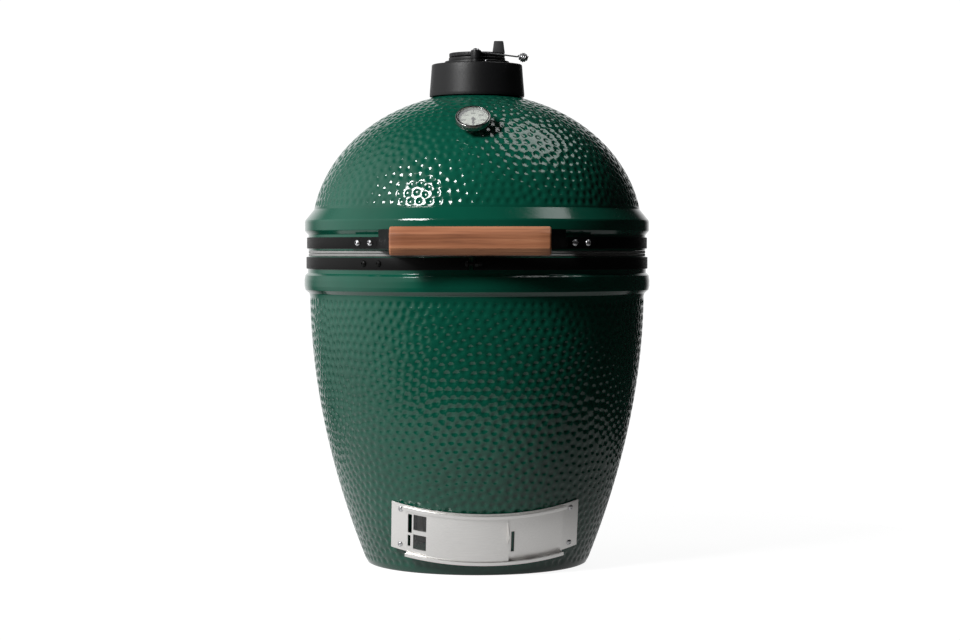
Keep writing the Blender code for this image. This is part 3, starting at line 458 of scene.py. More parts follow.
def swept(name, route, section, z=0.0, closed=False):
    """A section of (across, up) points swept along a level route, mitred at its corners."""
    points = np.array(route, float)
    into, out = points - np.roll(points, 1, 0), np.roll(points, -1, 0) - points
    if not closed:
        into[0], out[-1] = out[0], into[-1]
    into /= np.linalg.norm(into, axis=1)[:, None]
    out /= np.linalg.norm(out, axis=1)[:, None]
    mitre = into + out
    mitre /= np.linalg.norm(mitre, axis=1)[:, None]
    reach = 1 / np.maximum((mitre * into).sum(1), 0.5)
    verts, loops, sides = [], [], len(section)
    for (x, y), (mx, my), far in zip(points, mitre, reach):
        loops.append(list(range(len(verts), len(verts) + sides)))
        verts += [(x + my * far * off, y - mx * far * off, z + up) for off, up in section]
    faces = skin(loops, wrap=closed)
    if not closed:
        faces += [loops[0], loops[-1][::-1]]
    return solid(name, verts, faces)


def tube(name, route, radius, sides=8, closed=False):
    """A round wire along a route in space."""
    points = [Vector(p) for p in route]
    count = len(points)
    verts, loops, lean = [], [], None
    for i, here in enumerate(points):
        before = points[i - 1] if closed or i else here
        after = points[(i + 1) % count] if closed or i < count - 1 else here
        ahead = (after - before).normalized()
        if lean is None:
            lean = ahead.orthogonal().normalized()
        lean = (lean - ahead * lean.dot(ahead)).normalized()
        side = ahead.cross(lean)
        loops.append(list(range(len(verts), len(verts) + sides)))
        for k in range(sides):
            a = 2 * pi * k / sides
            verts.append(tuple(here + (lean * cos(a) + side * sin(a)) * radius))
    faces = skin(loops, wrap=closed)
    if not closed:
        faces += [loops[0], loops[-1][::-1]]
    return solid(name, verts, faces)


def block(name, size, corner, taper=1.0, at=(0, 0, 0)):
    """A box with rounded edges, its top narrowed by taper."""
    mesh = bpy.data.meshes.new(name)
    shape = bmesh.new()
    bmesh.ops.create_cube(shape, size=1)
    for vert in shape.verts:
        x, y, z = vert.co
        k = taper if z > 0 else 1.0
        vert.co = Vector((x * size[0] * k, y * size[1] * k, z * size[2])) + Vector(at)
    edges = {"geom": shape.edges[:], "affect": "EDGES", "clamp_overlap": True}
    bmesh.ops.bevel(shape, offset=corner, segments=3, profile=0.5, **edges)
    shape.to_mesh(mesh)
    shape.free()
    return mesh


def along(spot, way):
    return Matrix.Translation(spot) @ Vector(way).to_track_quat("Z", "Y").to_matrix().to_4x4()


# ---- dimpled ceramic ----
PITCH, DIMPLE_R, DIMPLE_DEPTH = 0.0145, 0.0061, 0.0014
DIMPLE_RINGS = ((1.0, 11), (0.76, 8), (0.42, 6))  # share of the radius, points
DIMPLE_MARGIN = DIMPLE_R + 0.0012
PUSH_ROUNDS, PUSH_REACH, PUSH_SHARE = 11, PITCH * 1.04, 0.32


class Meridian:
    """The (r, z) line of a turned surface. A run is a length along it, from its first point."""

    def __init__(self, curve):
        self.curve = np.array(curve)
        lengths = np.linalg.norm(np.diff(self.curve, axis=0), axis=1)
        self.run = np.concatenate(([0], np.cumsum(lengths)))
        self.total = self.run[-1]
        middle = (self.curve[1:, 0] + self.curve[:-1, 0]) / 2
        self.spread = np.concatenate(([0], np.cumsum(lengths / middle)))
        self.slope = np.gradient(self.curve, self.run, axis=0)
        self.slope /= np.linalg.norm(self.slope, axis=1)[:, None]

    def radius(self, runs):
        return np.interp(runs, self.run, self.curve[:, 0])

    def direction(self, runs):
        return np.interp(runs, self.run, self.slope[:, 0]), np.interp(runs, self.run, self.slope[:, 1])

    def at(self, turns, runs, sink=0.0):
        """Points in space, sunk below the surface."""
        r, z = self.radius(runs), np.interp(runs, self.run, self.curve[:, 1])
        tr, tz = self.direction(runs)
        r, z = r - tz * sink, z + tr * sink
        return np.stack((r * np.sin(turns), -r * np.cos(turns), z), axis=1)

    def flat(self, turns, runs):
        """The surface laid out flat, with its angles kept."""
        reach = np.exp(np.interp(runs, self.run, self.spread))
        return np.stack((reach * np.cos(turns), reach * np.sin(turns)), axis=1)


def search_tree(points):
    tree = kdtree.KDTree(len(points))
    for i, co in enumerate(points):
        tree.insert(co, i)
    tree.balance()
    return tree


def scattered(line, draw):
    """Turns and runs of the dimples' centres: loose rows, pushed apart until they sit evenly."""
    low, high = DIMPLE_MARGIN, line.total - DIMPLE_MARGIN
    rows = round((high - low) / (PITCH * 0.87))
    turns, runs = [], []
    for k in range(rows + 1):
        row = low + k * (line.total - 2 * low) / rows
        count = round(2 * pi * line.radius(row) / PITCH)
        phase = draw.random()
        turns += [2 * pi * (j + phase + draw.uniform(-0.5, 0.5)) / count for j in range(count)]
        runs += [row + draw.uniform(-0.5, 0.5) * PITCH for _ in range(count)]
    turns, runs = np.array(turns), np.clip(runs, low, high)
    for _ in range(PUSH_ROUNDS):
        where = line.at(turns, runs)
        tree = search_tree(where)
        push = np.zeros_like(where)
        for i, co in enumerate(where):
            for other, j, far in tree.find_range(co, PUSH_REACH):
                if j != i:
                    push[i] += (co - np.array(other)) / far * (PUSH_REACH - far) * PUSH_SHARE
        tr, tz = line.direction(runs)
        out = push[:, 0] * np.sin(turns) - push[:, 1] * np.cos(turns)
        across = push[:, 0] * np.cos(turns) + push[:, 1] * np.sin(turns)
        turns = turns + across / line.radius(runs)
        runs = np.clip(runs + out * tr + push[:, 2] * tz, low, high)
    return turns, runs


def dimples(line, draw):
    """Turns, runs and depths of all points: a centre and three rings for each dimple."""
    turns, runs = scattered(line, draw)
    where = line.at(turns, runs)
    tree = search_tree(where)
    nearest = np.array([tree.find_n(co, 2)[1][2] for co in where])
    wobble = np.array([draw.uniform(0.86, 1.05) for _ in turns])
    size = np.minimum(DIMPLE_R * wobble, nearest * 0.47)
    phase = np.array([draw.random() for _ in turns])

    radius, depth = line.radius(runs), DIMPLE_DEPTH * size / DIMPLE_R
    rows = [(turns, runs, depth)]
    for share, sides in DIMPLE_RINGS:
        for k in range(sides):
            a = 2 * pi * (k + phase) / sides
            around, along_run = size * share * np.cos(a) / radius, size * share * np.sin(a)
            rows.append((turns + around, runs + along_run, depth * (1 - share**2) ** 1.25))
    return [np.concatenate(column) for column in zip(*rows)]


def dimpled_shell(name, chains, lower, upper, curve, seed):
    """A turned shell with one dimpled stretch.

    chains are runs of (r, z) turned as they are; lower and upper are the ring numbers, counted through
    all the chains, that the dimpled stretch joins; curve is its (r, z) points from lower to upper.
    """
    verts, faces, loops = [], [], []
    for chain in chains:
        made = rings(chain, STEPS, verts)
        faces += skin(made)
        loops += made

    line = Meridian(curve)
    turns, runs, depths = dimples(line, random.Random(seed))
    patch = line.at(turns, runs, depths)
    ids = loops[lower] + loops[upper] + list(range(len(verts), len(verts) + len(patch)))
    verts += patch.tolist()

    edge = [2 * pi * k / STEPS for k in range(STEPS)]
    flat_turns = np.concatenate((edge, edge, turns))
    flat_runs = np.concatenate((np.zeros(STEPS), np.full(STEPS, line.total), runs))
    flat = line.flat(flat_turns, flat_runs)
    result = delaunay_2d_cdt([Vector(p) for p in flat.tolist()], [], [], 0, 1e-9)
    source = [group[0] for group in result[3]]
    for face in result[2]:
        corners = [source[v] for v in face]
        if max(corners) >= STEPS:  # all below STEPS is the hole inside the lower ring
            faces.append([ids[v] for v in corners])
    return solid(name, verts, faces)


def glaze_outside(mesh, is_outside):
    """Faces outside take the first material, the rest the second."""
    for face in mesh.polygons:
        c = face.center
        face.material_index = 0 if is_outside(sqrt(c.x**2 + c.y**2), c.z) else 1


def base_radius(z):
    return BASE_R - BASE_TAPER * ((BASE_SHOULDER_Z - z) / BASE_TAPER_HEIGHT) ** BASE_TAPER_POWER


def base_inner_radius(z):
    return min(base_radius(z) - WALL, RIM_INNER_R)


def rolled(name, layer, start, end, low, high, steps=72, corner=0.0):
    """A sheet between two radii, two angles and two heights, in the draft door's own frame."""
    middle, thick, tall = DRAFT_R + (layer[0] + layer[1]) / 2, layer[1] - layer[0], high - low
    square = [(thick / 2 * x, tall / 2 * z) for x, z in ((1, 1), (-1, 1), (-1, -1), (1, -1))]
    section = bar_section(thick, tall, corner) if corner else square
    return swept(name, arc(middle, start, end, steps), section, (low + high) / 2)


FRAME_HALF_ANGLE, FRAME_HEIGHT = 39.2, 0.0755
WINDOW_FROM, WINDOW_TO, WINDOW_LOW, WINDOW_HIGH = -31.5, -2.0, -0.0315, 0.0285
SLIDE_LOW, SLIDE_HIGH = -0.0400, 0.0334


def base_ceramic():
    inner_heights = (0.034, 0.06, 0.09, 0.13, 0.17, 0.21, 0.25, 0.29, 0.33, 0.36, 0.40)
    inner = [(0, FLOOR_Z), (0.152, FLOOR_Z)]
    inner += [(base_inner_radius(z), z) for z in inner_heights]
    rim = [(RIM_INNER_R, BASE_RIM_Z, 0.001), (BASE_NECK_R, BASE_RIM_Z, 0.001)]
    flange = [
        (BASE_NECK_R, 0.4500, 0.002),
        (BASE_FLANGE_R - 0.0012, 0.4462, 0.0015),
        (BASE_FLANGE_R, 0.4390, 0.008),
        (BASE_FLANGE_R, 0.4300, 0.008),
        (BASE_FLANGE_R - 0.0012, 0.4240, 0.0015),
        (BASE_R + 0.0013, 0.4185, 0.003),
    ]
    top_z, bottom_z = 0.4130, 0.0075
    foot_r = base_radius(0)
    foot = [(foot_r + 0.0006, 0.0035), (foot_r - 0.0008, 0.0010), (foot_r - 0.003, 0)]
    upper_chain = rounded(inner + rim + flange + [(base_radius(top_z), top_z)], 4)
    lower_chain = [(base_radius(bottom_z), bottom_z)] + foot + [(0, 0)]
    heights = [bottom_z + (top_z - bottom_z) * k / 160 for k in range(161)]
    curve = [(base_radius(z), z) for z in heights]
    count = len(upper_chain)
    shell = dimpled_shell("base_ceramic", (upper_chain, lower_chain), count, count - 1, curve, 11)

    half = FRAME_HEIGHT / 2 - 0.0022
    pad = rolled("pad", (-0.012, -GAP), -37.9, 37.9, -half, half)
    pad.transform(DRAFT)
    shell = combine(shell, pad, "UNION")
    hole = rolled("hole", (-0.075, 0.01), WINDOW_FROM, WINDOW_TO, WINDOW_LOW, WINDOW_HIGH, 24)
    hole.transform(DRAFT)
    shell = combine(shell, hole)

    def is_outside(r, z):
        if z > BASE_RIM_Z - 0.0005 or z < 0.0005:
            return False
        return r > (0.250 if z > 0.41 else base_radius(z) - 0.014)

    glaze_outside(shell, is_outside)
    place("base_ceramic", shell, (GLAZE, CLAY), "base", ["base_shell"], "glaze", sharp=50)


def dome_ceramic():
    def ellipse(a, h, angle):
        return (a * cos(radians(angle)), DOME_CENTRE_Z + h * sin(radians(angle)))

    low_angle, high_angle = 10.4, 73.2
    flange = [
        (0.2528, 0.5482, 0.006),
        (DOME_FLANGE_R - 0.0006, 0.5309, 0.003),
        (DOME_FLANGE_R, 0.5285, 0.0025),
        (DOME_FLANGE_R, 0.5150, 0.003),
        (DOME_NECK_R, 0.5085, 0.002),
    ]
    rim = [(DOME_NECK_R, DOME_RIM_Z, 0.001), (RIM_INNER_R, DOME_RIM_Z, 0.001)]
    bore_angle = degrees(acos(CHIMNEY_BORE_R / (DOME_A - WALL)))
    inside = [ellipse(DOME_A - WALL, DOME_H - WALL, 3 + (bore_angle - 3) * k / 14) for k in range(15)]
    chimney = [
        (CHIMNEY_BORE_R, CHIMNEY_TOP_Z, 0.001),
        (CHIMNEY_R, CHIMNEY_TOP_Z, 0.002),
        (CHIMNEY_R, 0.7250, 0.004),
    ]
    ends = [ellipse(DOME_A, DOME_H, angle) for angle in (low_angle, high_angle)]
    chain = rounded([ends[0]] + flange + rim + inside + chimney + [ends[1]], 4)
    sweep = high_angle - low_angle
    curve = [ellipse(DOME_A, DOME_H, low_angle + sweep * k / 160) for k in range(161)]
    shell = dimpled_shell("dome_ceramic", (chain,), 0, len(chain) - 1, curve, 5)
    well = turned("well", [(0, 0.02), (0.0045, 0.02), (0.0045, -0.05), (0, -0.05)], 24)
    well.transform(DIAL)
    shell = combine(shell, well)

    def is_outside(r, z):
        if z < DOME_RIM_Z + 0.0005 or z > CHIMNEY_TOP_Z - 0.002:
            return False
        if z < 0.536:
            return r > 0.25
        height = min((z - DOME_CENTRE_Z) / DOME_H, 1.0)
        return r > max(DOME_A * sqrt(1 - height**2) - 0.012, 0.056)

    glaze_outside(shell, is_outside)
    nodes = ["dome_shell", "dome_crown_shell"]
    place("dome_ceramic", shell, (GLAZE, CLAY), "dome", nodes, "glaze", sharp=50)


# ---- seals and what stands inside ----
def seals():
    height, width, inner_r, fuzz = 0.0039, 0.0217, 0.240, 0.00012
    for name, body, z in (("lower", "base", 0.4758), ("upper", "dome", 0.4801)):
        draw = random.Random(name)
        loop = arc(inner_r + width / 2, 0, 360, 360)[:-1]
        mesh = swept(name + "_felt", loop, bar_section(width, height, 0.0012, 3), z + height / 2, closed=True)
        for vert in mesh.vertices:
            vert.co.z = min(max(vert.co.z + draw.uniform(-fuzz, fuzz), z), z + height)
        place(name + "_felt", mesh, FELT, body, [name + "_gasket"], "felt", sharp=60)


def fire_parts():
    outside = [(0.196, 0.2717, 0.004), (0.1495, 0.0360, 0.002), (0.1445, 0.0303, 0.001)]
    inside = [(0.112, 0.0303, 0.002), (0.120, 0.112, 0.002), (0.1445, 0.112, 0.001), (0.176, 0.2717, 0.004)]
    firebox = turned("firebox_clay", rounded(outside + inside), 120)
    middle = 6.2 + (WINDOW_FROM + WINDOW_TO) / 2 * DRAFT_R / base_radius(0.0608)
    x, y = polar(0.135, middle)
    mouth = block("mouth", (0.090, 0.052, 0.080), 0.006)
    mouth.transform(Matrix.Translation((x, y, 0.070)) @ Matrix.Rotation(radians(middle), 4, "Z"))
    place("firebox_clay", combine(firebox, mouth), CLAY, "base", ["firebox"], "fireclay")
    corners = ((0.229, 0.455), (0.229, 0.440), (0.203, 0.272), (0.179, 0.272), (0.206, 0.455))
    ring = rounded([(*corner, 0.003) for corner in corners])
    place("fire_ring_clay", turned("fire_ring_clay", ring, 144), CLAY, "base", ["fire_ring"], "fireclay")


def cooking_grid():
    grid_r, grid_z, bars, pitch = 0.2262, 0.4586, 15, 0.0275

    def reach(off):
        return sqrt((grid_r - 0.0005) ** 2 - off * off)

    loop = [(*p, grid_z) for p in arc(grid_r, 0, 360, 144)[:-1]]
    wires = [tube("rim", loop, 0.003, 10, closed=True)]
    for y in (-0.09, 0.09):
        ends = [(side * reach(y), y, grid_z - 0.0002) for side in (-1, 1)]
        wires.append(tube("cross", ends, 0.0026, 10))
    for i in range(bars):
        x = pitch * (i - (bars - 1) / 2)
        ends = [(x, side * reach(x), grid_z + 0.0029) for side in (-1, 1)]
        wires.append(tube("bar", ends, 0.002, 10))
    place("grid_wires", joined("grid_wires", wires), GRID_STEEL, "base", ["cooking_grid"], "grid_steel")


# ---- straps, handle and fasteners ----
def straps():
    for name, body, outer, z, height in (
        ("lower_band", "base", LOWER_BAND_R, LOWER_BAND_Z, LOWER_BAND_HEIGHT),
        ("upper_band", "dome", UPPER_BAND_R, UPPER_BAND_Z, UPPER_BAND_HEIGHT),
    ):
        middle, x = outer - BAND_THICKNESS / 2, (BAND_GAP + BAND_THICKNESS) / 2
        start = degrees(asin(x / middle))
        tip = -(outer + BAND_LUG)
        route = [(x, tip), (x, tip + BAND_LUG / 2)] + arc(middle, start, 360 - start, 240)
        route += [(-x, tip + BAND_LUG / 2), (-x, tip)]
        section = bar_section(BAND_THICKNESS, height, 0.0007)
        strap = swept(name + "_strap", route, section, z)
        place(name + "_strap", strap, BLACK_STEEL, body, [name], "black_steel", sharp=40)


def handle():
    top, back, front = HANDLE_HEIGHT / 2, HANDLE_BACK_Y, HANDLE_BACK_Y - HANDLE_DEPTH
    upper = [(back, top, 0.002), (front + 0.0085, top, 0.0022), (front, top - 0.0102, 0.0022)]
    outline = rounded(upper + [(y, -up, fillet) for y, up, fillet in upper[::-1]], 4)
    middle_y = (back + front) / 2
    stations = [(-0.5, 0.90), (-0.4965, 0.945), (-0.4925, 0.98), (-0.487, 1.0)]
    stations += [(-0.487 + 0.974 * k / 12, 1.0) for k in range(1, 12)]
    stations += [(-s, k) for s, k in stations[3::-1]]
    verts, loops = [], []
    for share, narrow in stations:
        loops.append(list(range(len(verts), len(verts) + len(outline))))
        inset = (1 - narrow) * 0.021
        for y, up in outline:
            y = middle_y + (y - middle_y) * (1 - inset / (HANDLE_DEPTH / 2))
            verts.append((share * HANDLE_LENGTH, y, HANDLE_Z + up * (1 - inset / top)))
    faces = skin(loops) + [loops[0], loops[-1][::-1]]
    mesh = solid("handle_bar", verts, faces)
    place("handle_bar", mesh, WOOD, "dome", ["handle"], "wood", sharp=28)


BLACK, BRIGHT = (BLACK_STEEL, "black_steel"), (ZINC, "zinc")


def fastener(name, body, spot, way, head, shank_r, length, looks=BRIGHT, steps=28):
    """A domed head with a round socket, and its shank. head is its radius and height."""
    head_r, head_height = head
    socket, depth = head_r * 0.42, head_height * 0.55
    dome = [(head_r * cos(a), head_height * sin(a)) for a in (0, 0.35, 0.7, 1.0)]
    profile = [(0, -length), (shank_r, -length), (shank_r, 0), (head_r * 0.985, 0)] + dome
    profile += [(socket * 1.06, head_height * 0.93), (socket, head_height * 0.90)]
    profile += [(socket, depth), (0, depth)]
    mesh = turned(name + "_look", profile, steps)
    finish, slot = looks
    place(name + "_look", mesh, finish, body, [name], slot, at=along(spot, way))


def fasteners():
    def on_strap(name, body, head_at, angle, z, reach, looks):
        x, y = polar(head_at, angle)
        way = Vector((x, y, 0)).normalized()
        fastener(name, body, (x, y, z), way, (0.0050, 0.0032), 0.0025, reach, looks)

    for number, angle in enumerate((-37.2, -31.2), start=1):
        name = f"lower_band_screw_{number}"
        on_strap(name, "base", LOWER_BAND_R + GAP, angle, LOWER_BAND_Z, 0.0022, BLACK)
    for side in (-1, 1):
        label = "left" if side < 0 else "right"
        for number, angle in enumerate((34.2, 39.4), start=1):
            name = f"bracket_bolt_{label}_{number}"
            on_strap(name, "dome", UPPER_BAND_R + 0.0031, side * angle, UPPER_BAND_Z, 0.0049, BRIGHT)
        spot = (side * 0.094, HANDLE_BACK_Y + GAP + 0.0025 + GAP, HANDLE_Z)
        fastener(f"handle_screw_{label}", "dome", spot, (0, 1, 0), (0.0055, 0.0030), 0.0025, 0.017)
    for label, body, strap_r, z in (
        ("lower", "base", LOWER_BAND_R, LOWER_BAND_Z),
        ("upper", "dome", UPPER_BAND_R, UPPER_BAND_Z),
    ):
        for number, angle in enumerate((185.5, 174.5), start=1):
            name = f"hinge_bolt_{label}_{number}"
            on_strap(name, body, strap_r + 0.0036, angle, z, 0.0054, BLACK)
    corners = ((-35.0, 0.0290), (35.0, 0.0290), (-35.0, -0.0290), (35.0, -0.0290))
    for number, (angle, height) in enumerate(corners, start=1):
        way = Vector((*polar(1, angle), 0))
        spot = DRAFT @ (way * (DRAFT_R + 0.0018) + Vector((0, 0, height)))
        way = DRAFT.to_3x3() @ way
        fastener(f"draft_screw_{number}", "base", spot, way, (0.0043, 0.0018), 0.0016, 0.0085)
    for name, spot, head, reach, body in (
        ("vent_lid_pivot", (0, LID_PIVOT_Y, 0.7918), (0.0055, 0.0028), 0.0178, "vent_cap"),
        ("vent_wheel_screw", (0, 0, 0.7908), (0.0060, 0.0028), 0.0120, "vent_lid"),
    ):
        fastener(name, body, spot, (0, 0, 1), head, 0.0025, reach)
    x, y = polar(0.0503, 18)
    way = Vector((x, y, 0)).normalized()
    rivet_head, rivet_r, rivet_reach = (0.0019, 0.0012), 0.0009, 0.003
    fastener("vent_cap_rivet", "vent_cap", (x, y, 0.7755), way, rivet_head, rivet_r, rivet_reach, steps=16)


# ---- hinge springs ----
def springs():
    loop_r, coil_r, wire_r, coils, per_turn = 0.0058, 0.0075, 0.0012, 27, 18
    length, lead = HOOK_Z - ANCHOR_Z, 0.0088
    for label, x in (("left", -0.025), ("right", 0.025)):

        def loop(z, start, end):
            turns = [radians(start + (end - start) * i / 18) for i in range(19)]
            return [(x, HOOK_Y + loop_r * sin(a), z + loop_r * cos(a)) for a in turns]

        coil, count = [], coils * per_turn
        for i in range(count + 1):
            a, share = 2 * pi * i / per_turn, i / count
            r = coil_r * min(1.0, 0.35 + share * 22, 0.35 + (1 - share) * 22)
            z = ANCHOR_Z + lead + (length - 2 * lead) * share
            coil.append((x + r * cos(a), HOOK_Y + r * sin(a), z))
        route = loop(ANCHOR_Z, 70, 360) + coil + loop(HOOK_Z, 180, 470)
        mesh = tube(f"spring_{label}", route, wire_r, 6)
        node = f"hinge_spring_{label}"
        piece = place(f"spring_{label}", mesh, SPRING, "base", [node], "spring_steel", sharp=80)
        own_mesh(piece)


# ---- vent cap ----
def peg(r, low, high, spot=(0, 0), steps=32):
    """An upright round peg."""
    mesh = turned("peg", [(0, high), (r, high), (r, low), (0, low)], steps)
    mesh.transform(Matrix.Translation((*spot, 0)))
    return mesh


def pegs(count, ring_r, turn, r, low, high, steps=32):
    spots = [polar(ring_r, turn + 360 / count * i) for i in range(count)]
    return joined("pegs", [peg(r, low, high, spot, steps) for spot in spots])


def vent_cap():
    top = [(0.050, 0.7780, 0.0010), (0.050, 0.7730, 0.0012), (0.0702, 0.7730, 0.0022)]
    skirt = [(0.0714, 0.7560, 0.02), (0.0737, 0.7275, 0.001), (0.0737, 0.7230, 0.0008)]
    inside = [(0.0700, 0.7230, 0.0008), (0.0662, 0.7690, 0.002)]
    bore = [(0.036, 0.7690, 0.0006), (0.036, 0.7780, 0.0006)]
    body = turned("cap_body", rounded(top + skirt + inside + bore, 4), 144)
    post = peg(PIVOT_EAR_R, 0.7700, 0.7780, (0, LID_PIVOT_Y), 36)
    place("cap_body", combine(body, post, "UNION"), VENT_BLACK, "vent_cap", ["vent_cap_body"], "vent_black")


def vent_lid():
    lid_z, lid_top, lid_r, ear_top = 0.7783, 0.7833, 0.0440, 0.7915
    plate = rounded([(0, lid_top), (lid_r, lid_top, 0.001), (lid_r, lid_z, 0.0006), (0, lid_z)])
    disc = turned("lid_disc", plate, 128)
    arm = block("arm", (0.0152, 0.022, 0.0049), 0.0008, at=(0, LID_PIVOT_Y + 0.011, 0.7808))
    ear_side = [(PIVOT_EAR_R, ear_top, 0.001), (PIVOT_EAR_R, lid_z, 0.0005)]
    ear = turned("ear", rounded([(0, ear_top), *ear_side, (0, lid_z)]), 48)
    ear.transform(Matrix.Translation((0, LID_PIVOT_Y, 0)))
    lid = combine(combine(disc, arm, "UNION"), ear, "UNION")
    lid = combine(lid, pegs(VENT_PORTS, VENT_PORT_RING_R, 90, VENT_PORT_R, 0.770, 0.790))
    place("lid_plate", lid, VENT_BLACK, "vent_lid", ["vent_lid"], "vent_black")


def vent_wheel():
    low, high, wheel_r = 0.7842, 0.7905, 0.0432
    top = [(0, high - 0.0008), (0.034, high - 0.0008), (0.0355, high), (wheel_r, high, 0.0012)]
    wheel = turned("wheel_disc", rounded(top + [(wheel_r, low, 0.001), (0, low)]), 144)
    wheel = combine(wheel, pegs(VENT_PORTS, VENT_PORT_RING_R, 54, VENT_PORT_R, 0.780, 0.795))
    wheel = combine(wheel, pegs(36, wheel_r + 0.0008, 5, 0.0011, 0.77, 0.80, 10))
    place("wheel_disc", wheel, VENT_BLACK, "vent_wheel", ["vent_wheel"], "vent_black")

    foot, tip = 0.7908, 0.8098
    nub = block("nub_grip", (0.0195, 0.0125, tip - foot), 0.0014, 0.74, (0.0337, 0, (tip + foot) / 2))
    place("nub_grip", nub, SILICONE, "vent_wheel", ["vent_nub"], "silicone")


def vent_lever():
    """A straight wire that ends in a coil, widest at its middle."""
    start, centre = Vector((0.0083, LID_PIVOT_Y, 0.7885)), Vector((0.0725, LID_PIVOT_Y, 0.7800))
    across = (centre - start).normalized()
    side = across.cross(Vector((0, 1, 0))).normalized()
    straight = centre - across * 0.0092
    route = [start + (straight - start) * k / 8 for k in range(9)]
    per_turn, coils, coil_r, coil_length = 20, 5, 0.0062, 0.0135
    for i in range(per_turn * coils + 1):
        share = i / (per_turn * coils)
        swell = coil_r * (0.22 + 0.78 * sin(pi * (0.05 + 0.90 * share)))
        a = 2 * pi * i / per_turn
        spot = centre + across * (share - 0.5) * coil_length
        route.append(spot + side * swell * cos(a) + Vector((0, 1, 0)) * swell * sin(a))
    mesh = tube("lever_wire", route, 0.0013, 10)
    place("lever_wire", mesh, SPRING, "vent_lid", ["vent_lever"], "spring_steel", sharp=80)


# ---- draft door ----
SCREEN_REST, SCREEN_HALF, DOOR_REST, DOOR_HALF = -15.65, 16.25, -7.6, 15.85
MESH_LAYER, SCREEN_LAYER = (0.0019, 0.0023), (0.0026, 0.0036)
DOOR_LAYER, LIP_LAYER = (0.0047, 0.0057), (0.0061, 0.0073)
TOP_RAIL, BOTTOM_RAIL, RAIL_WEB = (-33.4, 32.2), (-32.0, 31.4), 0.0016


def draft_frame():
    half, foot, wide = FRAME_HEIGHT / 2, SLIDE_LOW - GAP - RAIL_WEB, FRAME_HALF_ANGLE
    sheet = rolled("sheet", (0.0, 0.0015), -wide, wide, foot, half, 120, 0.0004)
    window, slot = (WINDOW_FROM, WINDOW_TO, WINDOW_LOW, WINDOW_HIGH), (9.3, 10.6, -0.0250, 0.0080)
    beside_foot = [(-45, BOTTOM_RAIL[0], foot - 0.01, -half), (BOTTOM_RAIL[1], 45, foot - 0.01, -half)]
    for span in (window, *beside_foot, slot):
        sheet = combine(sheet, rolled("cut", (-0.01, 0.01), *span, 30))
    place("draft_plate", sheet, STAINLESS, "base", ["draft_frame"], "stainless", at=DRAFT)

    top, bottom = SLIDE_HIGH + GAP, SLIDE_LOW - GAP
    for name, span, web_heights, lip_heights in (
        ("draft_rail_top", TOP_RAIL, (top, top + RAIL_WEB), (0.0313, 0.0364)),
        ("draft_rail_bottom", BOTTOM_RAIL, (bottom - RAIL_WEB, bottom), (-0.0444, -0.0390)),
    ):
        web = rolled("web", (0.0018, LIP_LAYER[0] + 0.0004), *span, *web_heights, 100)
        lip = rolled("lip", LIP_LAYER, *span, *lip_heights, 100, 0.0004)
        rail = combine(web, lip, "UNION")
        place(name + "_channel", rail, STAINLESS, "base", [name], "stainless", at=DRAFT)


def screen_door():
    left, right = SCREEN_REST - SCREEN_HALF, SCREEN_REST + SCREEN_HALF
    screen = rolled("screen", SCREEN_LAYER, left, right, SLIDE_LOW, SLIDE_HIGH, 80, 0.0002)
    first = -29.0 - SCREEN_REST
    panes = ((first, 13.9, 0.0010, 0.0262), (first, 13.9, -0.0302, -0.0062))
    grips = ((-15.7, -14.0, -0.0050, 0.0255), (-15.7, -14.5, -0.0270, -0.0090))
    for start, end, low, high in panes + grips:
        cut = rolled("cut", (0.0, 0.006), SCREEN_REST + start, SCREEN_REST + end, low, high, 30)
        screen = combine(screen, cut)
    place("screen_frame", screen, STAINLESS, "screen_door", ["screen_door"], "stainless", at=DRAFT)

    # woven wires, over and under each other between the two faces of the mesh layer
    pitch, wire_r, swing = 0.0019, 0.00027, 0.00022
    middle = DRAFT_R + (MESH_LAYER[0] + MESH_LAYER[1]) / 2
    start, end = left + 2.3, right - 0.8
    low, tall = -0.0312, 0.0597
    across, up = int(radians(end - start) * middle / pitch), int(tall / pitch)

    def at(share_across, share_up, off):
        r, angle = middle + off, start + (end - start) * share_across
        return (*polar(r, angle), low + tall * share_up)

    wires = []
    for i in range(across + 1):
        halves = range(2 * up + 1)
        route = [at(i / across, j / (2 * up), swing * cos(pi * (j / 2 + i))) for j in halves]
        wires.append(tube("warp", route, wire_r, 4))
    for j in range(up + 1):
        halves = range(2 * across + 1)
        route = [at(i / (2 * across), j / up, -swing * cos(pi * (i / 2 + j))) for i in halves]
        wires.append(tube("weft", route, wire_r, 4))
    weave = joined("screen_weave", wires)
    place("screen_weave", weave, WEAVE, "screen_door", ["screen_mesh"], "mesh_steel", at=DRAFT, sharp=80)


def draft_door():
    left, right = DOOR_REST - DOOR_HALF, DOOR_REST + DOOR_HALF
    door = rolled("door", DOOR_LAYER, left, right, SLIDE_LOW, SLIDE_HIGH, 80, 0.0003)
    root, edge = DRAFT_R + DOOR_LAYER[0] + 0.0006, radians(right - 0.5)
    turns = [radians(t) for t in range(-37, 34, 7)]
    tip = [(root + 0.0062 + 0.006 * cos(a), 0.007 + 0.006 * sin(a)) for a in turns]
    outline = [(root - 0.0002, -0.0111), *tip, (root - 0.0002, 0.0281)]
    verts = []
    for t in (-0.00055, 0.00055):
        for r, z in outline:
            verts.append((r * sin(edge) + t * cos(edge), -r * cos(edge) + t * sin(edge), z))
    n = len(outline)
    faces = skin([list(range(n)), list(range(n, 2 * n))]) + [list(range(n)), list(range(n, 2 * n))[::-1]]
    door = combine(door, solid("tab", verts, faces), "UNION")
    place("door_sheet", door, STAINLESS, "draft_door", ["draft_door"], "stainless", at=DRAFT)


